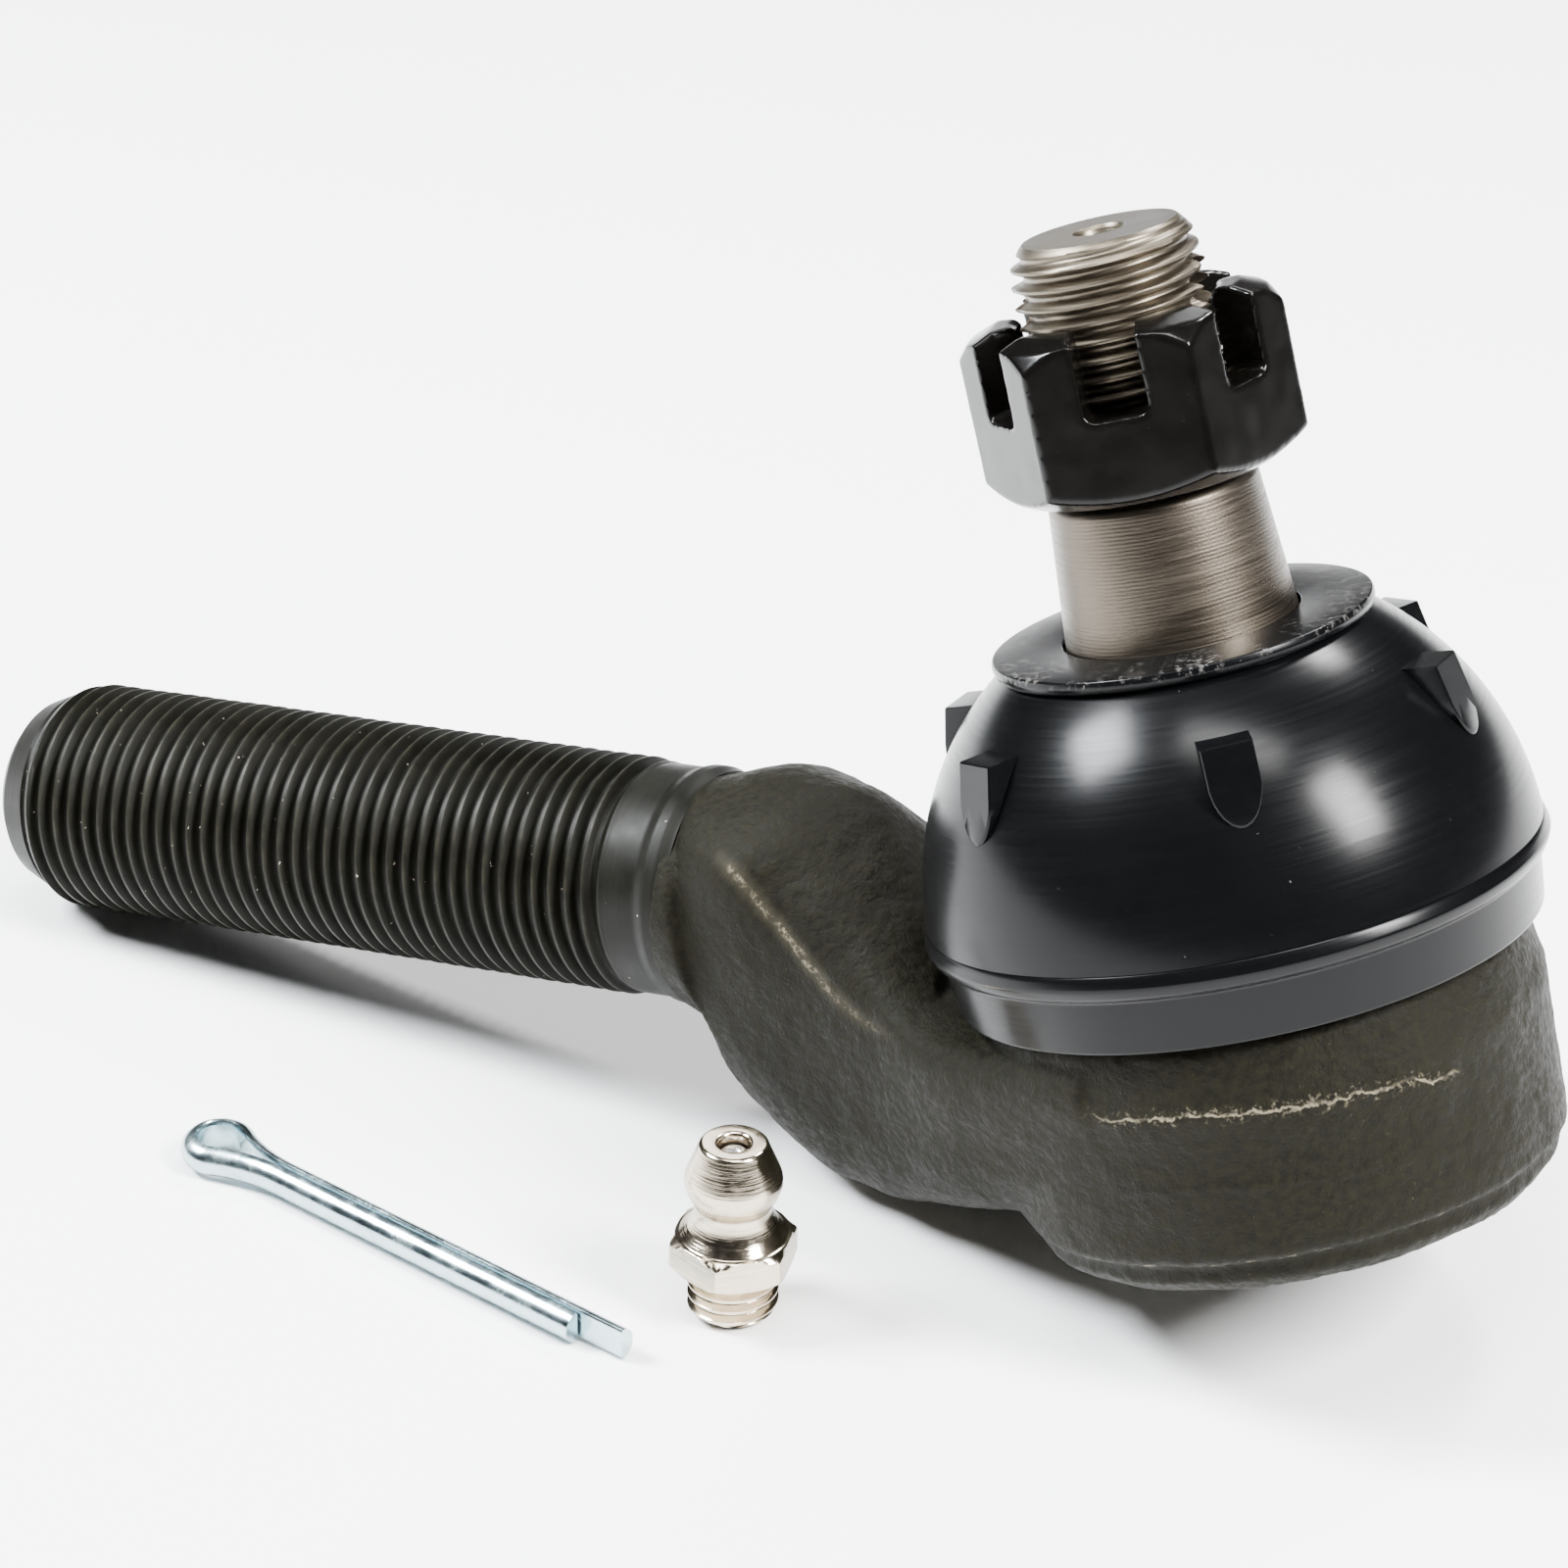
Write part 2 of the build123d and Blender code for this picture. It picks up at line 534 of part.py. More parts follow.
def make_all():
    """Every part in the floor frame, by node name."""
    parts = {name: make() for name, make in JOINT_PARTS.items()}
    laid_down = rest_location(parts["housing"])
    parts = {name: laid_down * part for name, part in parts.items()}
    for name, make in FITTING_PARTS.items():
        parts[name] = Pos(*FITTING_PLACE, 0) * Rot(0, 0, FITTING_TURN) * make()
    parts["cotter_pin"] = Pos(*PIN_PLACE, PIN_R) * Rot(0, 0, PIN_TURN) * make_cotter_pin()
    return parts


def centring_shift(parts):
    """Puts the origin under the middle of the whole set."""
    box = Compound(children=[part.moved(Location()) for part in parts.values()]).bounding_box()
    return Pos(-(box.min.X + box.max.X) / 2, -(box.min.Y + box.max.Y) / 2, 0)


def main():
    os.makedirs("parts", exist_ok=True)
    parts = make_all()
    shift = centring_shift(parts)
    for name, part in parts.items():
        export_step(shift * part, f"parts/{name}.step")


main()
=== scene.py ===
import json
from math import asin, atan2, cos, pi, radians, sin, sqrt

import bmesh
import bpy
import numpy as np
from mathutils import Matrix, Vector, noise


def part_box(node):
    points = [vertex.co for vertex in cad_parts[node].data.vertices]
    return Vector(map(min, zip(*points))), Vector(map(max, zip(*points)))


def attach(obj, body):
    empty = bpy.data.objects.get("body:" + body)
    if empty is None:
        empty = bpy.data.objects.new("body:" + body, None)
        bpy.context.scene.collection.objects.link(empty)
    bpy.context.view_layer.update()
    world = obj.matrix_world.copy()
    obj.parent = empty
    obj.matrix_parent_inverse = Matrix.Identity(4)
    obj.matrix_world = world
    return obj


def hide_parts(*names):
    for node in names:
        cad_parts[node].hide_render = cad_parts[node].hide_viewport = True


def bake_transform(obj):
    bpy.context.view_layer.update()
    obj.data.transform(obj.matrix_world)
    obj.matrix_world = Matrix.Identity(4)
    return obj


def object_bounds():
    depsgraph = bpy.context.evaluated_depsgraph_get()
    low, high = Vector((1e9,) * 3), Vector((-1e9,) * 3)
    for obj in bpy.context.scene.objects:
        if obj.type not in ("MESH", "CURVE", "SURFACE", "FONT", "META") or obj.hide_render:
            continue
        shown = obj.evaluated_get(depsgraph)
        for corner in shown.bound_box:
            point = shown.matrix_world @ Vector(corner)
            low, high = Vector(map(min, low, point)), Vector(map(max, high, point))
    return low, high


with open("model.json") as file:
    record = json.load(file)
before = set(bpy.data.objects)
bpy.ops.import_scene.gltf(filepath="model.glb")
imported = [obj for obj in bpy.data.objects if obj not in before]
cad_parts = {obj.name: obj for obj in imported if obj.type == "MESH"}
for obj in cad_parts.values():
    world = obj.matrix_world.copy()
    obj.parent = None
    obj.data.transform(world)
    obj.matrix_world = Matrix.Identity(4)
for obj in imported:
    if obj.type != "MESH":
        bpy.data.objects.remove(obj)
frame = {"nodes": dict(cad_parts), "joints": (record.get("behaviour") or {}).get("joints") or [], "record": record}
cad_low, cad_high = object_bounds()
MOUNTS = {mount["name"]: mount for mount in frame["record"]["mounts"]}

MM = 0.001


# ---------------------------------------------------------------- frames of reference

def frame_from_axis(origin, z_axis, side):
    """Matrix from millimetres in a part's own frame to the row frame."""
    z = Vector(z_axis).normalized()
    x = Vector(side).cross(z).normalized()
    y = z.cross(x)
    turn = Matrix((x, y, z)).transposed().to_4x4()
    return Matrix.Translation(Vector(origin)) @ turn @ Matrix.Scale(MM, 4)


SIDE = next(joint["axis"] for joint in frame["joints"] if joint["name"] == "swing_fore_aft")
BALL = MOUNTS["ball_centre"]
SHANK = MOUNTS["shank_thread"]
JOINT_FRAME = frame_from_axis(BALL["pos_m"], BALL["axis"], SIDE)
SHANK_FRAME = frame_from_axis(BALL["pos_m"], SHANK["axis"], SIDE)


def fitting_frame():
    low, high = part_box("grease_fitting")
    foot = Vector(((low.x + high.x) / 2, (low.y + high.y) / 2, low.z))
    return frame_from_axis(foot, (0, 0, 1), (0, 1, 0))


FITTING_FRAME = fitting_frame()


# ---------------------------------------------------------------- mesh helpers

def smooth_step(value, low, high):
    t = np.clip((value - low) / (high - low), 0.0, 1.0)
    return t * t * (3 - 2 * t)


def add_object(name, mesh):
    piece = bpy.data.objects.new(name, mesh)
    bpy.context.scene.collection.objects.link(piece)
    return piece


def mesh_object(name, points, faces, place, sharp_degrees=32):
    """Closed mesh from points in millimetres, moved into the row frame, with doubled points merged."""
    mesh = bpy.data.meshes.new(name)
    mesh.from_pydata([tuple(p) for p in points], [], faces)
    work = bmesh.new()
    work.from_mesh(mesh)
    bmesh.ops.remove_doubles(work, verts=work.verts, dist=2e-4)
    bmesh.ops.dissolve_degenerate(work, edges=work.edges, dist=2e-4)
    bmesh.ops.recalc_face_normals(work, faces=work.faces)
    work.to_mesh(mesh)
    work.free()
    mesh.transform(place)
    shade(mesh, sharp_degrees)
    return add_object(name, mesh)


def shade(mesh, sharp_degrees):
    mesh.polygons.foreach_set("use_smooth", [True] * len(mesh.polygons))
    mesh.set_sharp_from_angle(angle=radians(sharp_degrees))


def grid_faces(rows, columns, closed_rows=False):
    """Quads of a rows x columns grid whose columns run round and close."""
    faces = []
    for i in range(rows if closed_rows else rows - 1):
        upper = (i + 1) % rows
        for j in range(columns):
            right = (j + 1) % columns
            faces.append((i * columns + j, i * columns + right, upper * columns + right, upper * columns + j))
    return faces


def lathe(name, profile, place, steps=128, sharp_degrees=32):
    """Revolves a closed (radius, height) outline; points on the axis close by merging."""
    angles = np.linspace(0, 2 * pi, steps, endpoint=False)
    points = [(r * cos(a), r * sin(a), z) for r, z in profile for a in angles]
    return mesh_object(name, points, grid_faces(len(profile), steps, True), place, sharp_degrees)


def rounded(profile, radius, arc_steps=4):
    """Rounds every corner of a closed (radius, height) outline that lies off the axis."""
    result = []
    count = len(profile)
    for i, corner in enumerate(profile):
        here = np.array(corner, float)
        before = np.array(profile[i - 1], float) - here
        after = np.array(profile[(i + 1) % count], float) - here
        reach = min(radius, 0.45 * np.linalg.norm(before), 0.45 * np.linalg.norm(after))
        if here[0] < 1e-6 or reach < 1e-4:
            result.append(tuple(here))
            continue
        start = here + before / np.linalg.norm(before) * reach
        end = here + after / np.linalg.norm(after) * reach
        for k in range(arc_steps + 1):
            t = k / arc_steps
            result.append(tuple((1 - t) ** 2 * start + 2 * t * (1 - t) * here + t * t * end))
    return result


SCREW_ROWS_PER_PITCH = 14


def thread_depth(phase):
    """Depth of a 60-degree thread, as a share of the pitch, at a phase of 0 on the crest's middle."""
    crest = 0.07
    flank = 0.345
    away = np.abs((phase + 0.5) % 1.0 - 0.5)
    return 0.6 * smooth_step(away, crest * 0.6, crest + flank) ** 0.9


def screw_surface(radius_at, low, high, pitch, steps=120):
    """Points and faces of a right-hand screw between two heights, open at both ends.
    Its rows follow the helix, so crests stay clean.  radius_at(angle, height, phase) works on arrays."""
    angles = np.linspace(0, 2 * pi, steps, endpoint=False)
    turns = int(np.ceil((high - low) / pitch))
    index = np.arange(-SCREW_ROWS_PER_PITCH, (turns + 1) * SCREW_ROWS_PER_PITCH + 1)
    phase = index[:, None] / SCREW_ROWS_PER_PITCH + np.zeros(steps)[None, :]
    height = np.clip(low + (phase + angles[None, :] / (2 * pi)) * pitch, low, high)
    radius = radius_at(angles[None, :], height, phase)
    x = radius * np.cos(angles)[None, :]
    y = radius * np.sin(angles)[None, :]
    points = np.stack([x, y, height], axis=-1).reshape(-1, 3)
    faces = []
    rows = len(index)
    for i in range(rows - 1):
        for j in range(steps - 1):
            faces.append((i * steps + j, i * steps + j + 1, (i + 1) * steps + j + 1, (i + 1) * steps + j))
        across = i + SCREW_ROWS_PER_PITCH
        if across + 1 < rows:
            end = i * steps + steps - 1
            faces.append((end, across * steps, (across + 1) * steps, end + steps))
    return points, faces


def object_from_screw(name, points, faces, place, caps, sharp_degrees=40):
    """Mesh from screw_surface() with each open end closed by rings at the given (radius, height) points."""
    mesh = bpy.data.meshes.new(name)
    mesh.from_pydata([tuple(p) for p in points], [], faces)
    work = bmesh.new()
    work.from_mesh(mesh)
    bmesh.ops.remove_doubles(work, verts=work.verts, dist=1e-4)
    bmesh.ops.dissolve_degenerate(work, edges=work.edges, dist=1e-4)
    loose = [v for v in work.verts if not v.link_faces]
    bmesh.ops.delete(work, geom=loose, context="VERTS")
    for rings in caps:
        cap_open_end(work, rings)
    bmesh.ops.remove_doubles(work, verts=work.verts, dist=1e-4)
    bmesh.ops.recalc_face_normals(work, faces=work.faces)
    work.to_mesh(mesh)
    work.free()
    mesh.transform(place)
    shade(mesh, sharp_degrees)
    return add_object(name, mesh)


def cap_open_end(work, rings):
    """Extrudes the open rim nearest the first ring's height through the rings, then fills it."""
    target = rings[0][1]
    rims = [e for e in work.edges if e.is_boundary]
    edges = [e for e in rims if abs((e.verts[0].co.z + e.verts[1].co.z) / 2 - target) < 0.5]
    for radius, height in rings:
        grown = bmesh.ops.extrude_edge_only(work, edges=edges)["geom"]
        edges = [g for g in grown if isinstance(g, bmesh.types.BMEdge)]
        for vert in {v for e in edges for v in e.verts}:
            angle = atan2(vert.co.y, vert.co.x)
            vert.co = Vector((radius * cos(angle), radius * sin(angle), height))
    bmesh.ops.contextual_create(work, geom=edges)


def copy_of(node, name):
    return add_object(name, frame["nodes"][node].data.copy())


def run_modifier(piece, kind, **settings):
    """Adds a modifier, applies it and leaves the plain mesh."""
    modifier = piece.modifiers.new(kind.lower(), kind)
    for key, value in settings.items():
        setattr(modifier, key, value)
    graph = bpy.context.evaluated_depsgraph_get()
    mesh = bpy.data.meshes.new_from_object(piece.evaluated_get(graph))
    piece.modifiers.clear()
    piece.data = mesh
    return piece


def in_frame(piece, place):
    """Vertex positions of a piece as an array in a part's own millimetres."""
    co = np.empty(len(piece.data.vertices) * 3)
    piece.data.vertices.foreach_get("co", co)
    back = np.array(place.inverted())
    return co.reshape(-1, 3) @ back[:3, :3].T + back[:3, 3]


def normals_of(piece):
    normals = np.empty(len(piece.data.vertices) * 3)
    piece.data.vertices.foreach_get("normal", normals)
    return normals.reshape(-1, 3)


def push(piece, millimetres):
    """Moves each vertex along its normal."""
    co = np.empty(len(piece.data.vertices) * 3)
    piece.data.vertices.foreach_get("co", co)
    moved = co.reshape(-1, 3) + normals_of(piece) * (millimetres * MM)[:, None]
    piece.data.vertices.foreach_set("co", moved.ravel())
    piece.data.update()


def fractal(points, size, octaves=3, seed=0.0):
    """Signed noise at each point, with features about size millimetres across."""
    shift = Vector((seed, -seed * 0.7, seed * 1.3))
    return np.array([noise.fractal(Vector(p) / size + shift, 0.6, 2.1, octaves) for p in points])


def mark(piece, name, values):
    """Stores a mask on the mesh for its material to read."""
    layer = piece.data.attributes.new(name, "FLOAT", "POINT")
    layer.data.foreach_set("value", np.asarray(values, np.float32))


def distance_to_line(points, line):
    """Shortest distance from each point to a polyline."""
    best = np.full(len(points), 1e9)
    for a, b in zip(line[:-1], line[1:]):
        a, b = np.array(a, float), np.array(b, float)
        along = np.clip(((points - a) @ (b - a)) / ((b - a) @ (b - a)), 0, 1)
        best = np.minimum(best, np.linalg.norm(points - a - along[:, None] * (b - a), axis=1))
    return best


# ---------------------------------------------------------------- material helpers

class Shader:
    """Small wrapper that builds one material's nodes."""

    def __init__(self, name, **inputs):
        self.material = bpy.data.materials.new(name)
        self.material.use_nodes = True
        self.tree = self.material.node_tree
        self.surface = self.tree.nodes["Principled BSDF"]
        for key, value in inputs.items():
            self.surface.inputs[key.replace("_", " ")].default_value = value
        self.place = self.tree.nodes.new("ShaderNodeTexCoord").outputs["Object"]

    def node(self, kind, inputs=None, **settings):
        made = self.tree.nodes.new(kind)
        for key, value in settings.items():
            setattr(made, key, value)
        for key, value in (inputs or {}).items():
            self.feed(made.inputs[key], value)
        return made

    def feed(self, socket, value):
        if isinstance(value, bpy.types.NodeSocket):
            self.tree.links.new(value, socket)
        else:
            socket.default_value = value

    def math(self, operation, a, b=0.0, c=0.0):
        return self.node("ShaderNodeMath", {0: a, 1: b, 2: c}, operation=operation).outputs[0]

    def noise(self, millimetres, detail=3.0, roughness=0.55, vector=None):
        """Noise from 0 to 1 with features about this many millimetres across."""
        scale = 1.0 / millimetres if vector else 1.0 / (millimetres * MM)
        inputs = {"Scale": scale, "Detail": detail, "Roughness": roughness, "Vector": vector or self.place}
        return self.node("ShaderNodeTexNoise", inputs).outputs["Fac"]

    def ramp(self, value, low, high, out_low=0.0, out_high=1.0):
        inputs = {0: value, 1: low, 2: high, 3: out_low, 4: out_high}
        return self.node("ShaderNodeMapRange", inputs, interpolation_type="SMOOTHSTEP").outputs[0]

    def mix(self, factor, a, b):
        made = self.node("ShaderNodeMix", data_type="RGBA")
        self.feed(made.inputs["Factor"], factor)
        self.feed(made.inputs[6], a)
        self.feed(made.inputs[7], b)
        return made.outputs[2]

    def attribute(self, name):
        return self.node("ShaderNodeAttribute", attribute_name=name).outputs["Fac"]

    def along(self, place):
        """Millimetres along a part's own axis."""
        axis = (place.to_3x3() @ Vector((0, 0, 1))).normalized()
        ends = {0: self.place, 1: place.translation}
        offset = self.node("ShaderNodeVectorMath", ends, operation="SUBTRACT")
        dot = self.node("ShaderNodeVectorMath", {0: offset.outputs[0], 1: axis}, operation="DOT_PRODUCT")
        return self.math("MULTIPLY", dot.outputs["Value"], 1.0 / MM)

    def stretched(self, place, across, lengthways):
        """Coordinates in a part's own frame, squeezed so that noise becomes fine rings or streaks."""
        back = place.inverted()
        turned = self.node("ShaderNodeMapping", {"Vector": self.place}, vector_type="POINT")
        turned.inputs["Location"].default_value = back.translation
        turned.inputs["Rotation"].default_value = back.to_3x3().normalized().to_euler()
        turned.inputs["Scale"].default_value = (1 / MM,) * 3
        squeezed = self.node("ShaderNodeVectorMath", {0: turned.outputs[0]}, operation="MULTIPLY")
        squeezed.inputs[1].default_value = (1 / across, 1 / across, 1 / lengthways)
        return squeezed.outputs[0]

    def bump(self, height, millimetres, strength=1.0, below=None):
        inputs = {"Height": height, "Distance": millimetres * MM, "Strength": strength}
        if below is not None:
            inputs["Normal"] = below
        return self.node("ShaderNodeBump", inputs).outputs[0]

    def finish(self, color=None, roughness=None, normal=None):
        for key, value in (("Base Color", color), ("Roughness", roughness), ("Normal", normal)):
            if value is not None:
                self.feed(self.surface.inputs[key], value)
        return self.material


def paint(piece, material):
    piece.data.materials.clear()
    piece.data.materials.append(material)


# ---------------------------------------------------------------- materials

def forged_steel():
    """Dark scaled forging: grainy, faintly mottled, bright where it is scuffed or the flash was trimmed, with a
    painted highlight along the arm's ridge.
    """
    s = Shader("forged_steel", Metallic=0.2, Specular_IOR_Level=0.09)
    grain = s.noise(0.55, 5.0, 0.62)
    patches = s.noise(7.0, 3.0, 0.5)
    specks = s.ramp(s.noise(0.28, 2.0, 0.5), 0.70, 0.80)
    base = s.mix(patches, (0.0020, 0.0018, 0.0008, 1), (0.0044, 0.0040, 0.0019, 1))
    base = s.mix(s.ramp(grain, 0.35, 0.75, 0.0, 0.7), base, (0.0105, 0.0094, 0.0046, 1))
    base = s.mix(s.math("MULTIPLY", specks, 0.35), base, (0.06, 0.054, 0.036, 1))
    # bright trimmed flash and rim nicks, plus a painted highlight along the arm's ridge
    base = s.mix(bare_metal_and_ridge_highlight(s), base, (0.15, 0.13, 0.09, 1))
    rough = s.ramp(grain, 0.3, 0.7, 0.48, 0.70)
    fine = s.bump(s.noise(0.20, 3.0, 0.6), 0.06, 0.8)
    normal = s.bump(grain, 0.16, 0.9, fine)
    return s.finish(base, rough, normal)


def bare_metal_and_ridge_highlight(s):
    """Mask of the thin bright marks: trimmed flash, a painted highlight along the arm's ridge, and nicks on the
    rim.
    """
    wander = s.math("MULTIPLY_ADD", s.noise(1.1, 4.0, 0.65), 0.9, -0.45)
    height = s.math("ABSOLUTE", s.math("ADD", s.attribute("flash_height"), wander))
    line = s.ramp(height, 0.02, 0.13, 0.9, 0.0)
    gaps = s.ramp(s.noise(1.1, 4.0, 0.6), 0.38, 0.54, 0.1, 1.0)
    torn = s.math("MULTIPLY", line, gaps)
    fringe = s.ramp(height, 0.2, 0.8, 1.0, 0.0)
    shreds = s.ramp(s.noise(0.4, 4.0, 0.7), 0.53, 0.66, 0.0, 0.5)
    frayed = s.math("MULTIPLY", fringe, shreds)
    flash = s.math("MULTIPLY", s.math("MAXIMUM", torn, frayed), s.attribute("flash_share"))
    # painted highlight along the arm's ridge: a soft glow near the ridge, broken into thin streaks
    stray = s.math("MULTIPLY_ADD", s.noise(1.3, 4.0, 0.6), 0.7, -0.35)
    distance = s.math("ADD", s.attribute("ridge_distance"), stray)
    soft = s.ramp(distance, 0.0, 1.1, 0.12, 0.0)
    highlight_streaks = s.ramp(s.noise(0.35, 4.0, 0.7), 0.46, 0.62)
    sharp = s.math("MULTIPLY", s.ramp(distance, 0.05, 0.42, 0.75, 0.0), highlight_streaks)
    ridge = s.math("MULTIPLY", s.math("ADD", soft, sharp), s.attribute("ridge_share"))
    rim = s.ramp(s.math("ABSOLUTE", s.attribute("rim_height")), 0.05, 0.2, 0.8, 0.0)
    nicks = s.math("MULTIPLY", rim, s.ramp(s.noise(0.8, 4.0, 0.7), 0.56, 0.64))
    return s.math("MAXIMUM", s.math("MAXIMUM", flash, ridge), nicks)


def thread_steel():
    """Dark oxide on rolled thread: satin, crests worn a little lighter."""
    s = Shader("thread_steel", Metallic=0.2, Specular_IOR_Level=0.12)
    rings = s.noise(1.0, 3.0, 0.6, s.stretched(SHANK_FRAME, 9.0, 0.16))
    patches = s.noise(4.0, 3.0)
    base = s.mix(patches, (0.0014, 0.0015, 0.0008, 1), (0.0032, 0.0031, 0.0017, 1))
    base = s.mix(s.ramp(rings, 0.45, 0.75, 0.0, 0.5), base, (0.0075, 0.0070, 0.0040, 1))
    wear_and_highlight = s.math("MULTIPLY", s.attribute("crest"), s.ramp(s.noise(1.2, 3.0), 0.35, 0.75, 0.1, 0.6))
    base = s.mix(wear_and_highlight, base, (0.016, 0.0150, 0.0090, 1))
    specks = s.ramp(s.noise(0.5, 2.0), 0.74, 0.80)
    base = s.mix(s.math("MULTIPLY", specks, 0.7), base, (0.42, 0.36, 0.30, 1))
    rough = s.ramp(patches, 0.3, 0.7, 0.40, 0.55)
    normal = s.bump(rings, 0.02, 0.6)
    return s.finish(base, rough, normal)


def turned_steel():
    """Bare turned steel: tan grey, with fine tool rings round the stud's axis."""
    s = Shader("turned_steel", Metallic=1.0)
    along = s.along(JOINT_FRAME)
    wobble = s.math("MULTIPLY", s.noise(5.0, 2.0), 0.5)
    rings = s.math("SINE", s.math("MULTIPLY", s.math("ADD", along, wobble), 2 * pi / 0.26))
    streaks = s.noise(1.0, 4.0, 0.65, s.stretched(JOINT_FRAME, 7.0, 0.12))
    patches = s.noise(3.0, 4.0, 0.6)
    base = s.mix(patches, (0.070, 0.058, 0.043, 1), (0.125, 0.106, 0.080, 1))
    base = s.mix(s.ramp(streaks, 0.35, 0.7, 0.0, 0.6), base, (0.165, 0.142, 0.110, 1))
    # painted shade: darker on the taper just below the nut and just above the boot's disc
    painted_shade = s.attribute("painted_shade")
    base = s.mix(s.math("MULTIPLY", painted_shade, 0.85), base, (0.075, 0.062, 0.050, 1))
    rough = s.ramp(streaks, 0.3, 0.7, 0.30, 0.46)
    grain = s.bump(s.noise(0.16, 3.0, 0.6), 0.014, 0.8)
    fine = s.bump(streaks, 0.008, 0.8, grain)
    normal = s.bump(rings, 0.0025, 0.8, fine)
    return s.finish(base, rough, normal)


def black_enamel():
    """Glossy black finish of the castle nut, a little orange-peeled and dusty."""
    s = Shader("black_enamel", Metallic=0.0, Specular_IOR_Level=0.12)
    s.surface.inputs["Coat Weight"].default_value = 0.08
    s.surface.inputs["Coat Roughness"].default_value = 0.08
    patches = s.noise(2.4, 3.0)
    dust = s.ramp(s.noise(0.22, 2.0), 0.72, 0.80)
    base = s.mix(patches, (0.0010, 0.0010, 0.0009, 1), (0.0024, 0.0021, 0.0017, 1))
    base = s.mix(s.math("MULTIPLY", dust, 0.12), base, (0.08, 0.08, 0.08, 1))
    rough = s.ramp(patches, 0.3, 0.7, 0.17, 0.22)
    normal = s.bump(s.noise(0.9, 3.0, 0.55), 0.003, 0.5)
    return s.finish(base, rough, normal)


def moulded_rubber():
    """Glossy moulded rubber: very fine lines round the boot from the mould, and specks of dust."""
    s = Shader("moulded_rubber", Metallic=0.0, Specular_IOR_Level=0.11)
    lines = s.noise(1.0, 4.0, 0.7, s.stretched(JOINT_FRAME, 14.0, 0.22))
    patches = s.noise(6.0, 3.0)
    base = s.mix(patches, (0.0009, 0.0010, 0.0012, 1), (0.0018, 0.0020, 0.0022, 1))
    dust = s.math("MULTIPLY", s.ramp(s.noise(0.35, 2.0), 0.755, 0.80), s.ramp(patches, 0.4, 0.7))
    base = s.mix(s.math("MULTIPLY", dust, 0.4), base, (0.20, 0.20, 0.20, 1))
    wear_and_highlight = s.math("MULTIPLY", s.attribute("scuff"), s.ramp(s.noise(0.45, 4.0, 0.7), 0.50, 0.62))
    base = s.mix(s.math("MULTIPLY", wear_and_highlight, 0.7), base, (0.10, 0.095, 0.09, 1))
    rough = s.ramp(lines, 0.3, 0.75, 0.20, 0.27)
    fine = s.bump(s.noise(0.12, 2.0), 0.002, 0.5)
    normal = s.bump(lines, 0.0016, 0.6, fine)
    return s.finish(base, rough, normal)


def zinc_plate():
    """Bright blue-white zinc on drawn wire."""
    s = Shader("zinc_plate", Metallic=1.0)
    patches = s.noise(1.6, 4.0, 0.6)
    base = s.mix(patches, (0.30, 0.42, 0.46, 1), (0.58, 0.72, 0.76, 1))
    stains = s.ramp(s.noise(2.4, 4.0, 0.7), 0.50, 0.75)
    base = s.mix(s.math("MULTIPLY", stains, 0.6), base, (0.10, 0.13, 0.14, 1))
    rough = s.ramp(patches, 0.3, 0.7, 0.16, 0.30)
    normal = s.bump(s.noise(0.5, 4.0, 0.6), 0.02, 0.5)
    return s.finish(base, rough, normal)


def nickel_plate(name="nickel_plate"):
    """Bright nickel over a turned surface."""
    s = Shader(name, Metallic=1.0)
    rings = s.noise(1.0, 3.0, 0.6, s.stretched(FITTING_FRAME, 8.0, 0.10))
    patches = s.noise(1.2, 3.0)
    base = s.mix(patches, (0.46, 0.39, 0.29, 1), (0.66, 0.58, 0.46, 1))
    base = s.mix(s.ramp(rings, 0.55, 0.72, 0.0, 0.6), base, (0.16, 0.12, 0.08, 1))
    rough = s.ramp(patches, 0.3, 0.7, 0.10, 0.2)
    normal = s.bump(rings, 0.022, 0.9)
    return s.finish(base, rough, normal)


def oiled_steel(name, color, roughness):
    """Hidden steel parts: grey, faintly mottled by oil."""
    s = Shader(name, Metallic=0.9)
    patches = s.noise(2.5, 4.0, 0.6)
    darker = tuple(0.55 * c for c in color)
    base = s.mix(patches, (*darker, 1), (*color, 1))
    rough = s.ramp(patches, 0.3, 0.7, roughness - 0.08, roughness + 0.1)
    return s.finish(base, rough, s.bump(s.noise(0.3, 3.0), 0.01, 0.6))


def bearing_plastic():
    """Off-white acetal of the bearing shells."""
    s = Shader("bearing_plastic", Metallic=0.0)
    patches = s.noise(3.0, 3.0)
    base = s.mix(patches, (0.60, 0.57, 0.48, 1), (0.74, 0.72, 0.64, 1))
    return s.finish(base, s.ramp(patches, 0.3, 0.7, 0.35, 0.5), s.bump(s.noise(0.4, 3.0), 0.01, 0.5))


# ---------------------------------------------------------------- forged socket and shank
COLLAR_CUT = 43.62            # along the shank axis, where the forging ends and the turned collar begins
COLLAR_R = 8.45
THREAD_START = 48.4
THREAD_END = 99.4
SHANK_END = 103.9
SHANK_MAJOR_R = 8.731
SHANK_PITCH = 25.4 / 18
SHANK_END_FACE_R = 6.2
DRUM_R = 19.0
RIM_Z = -14.1                 # edge between the drum's side and its rolled lip
FLASH_LINE = [                # (degrees round the drum, height) where the forging's flash was trimmed
    (-104, -3.2), (-85, -3.3), (-72, -3.3), (-57, -3.8), (-43, -4.1), (-34, -4.4), (-24, -5.1),
]
ARM_EDGE = [                  # ridge along the near side of the arm, in the joint frame
    (-35.4, -8.7, 12.6), (-33.8, -8.8, 10.8), (-32.4, -9.0, 8.7), (-30.7, -9.1, 6.4), (-29.2, -9.4, 4.2),
    (-27.5, -9.8, 2.3), (-25.0, -10.6, 0.6), (-21.2, -12.2, -0.3), (-16.5, -14.1, -0.7),
]


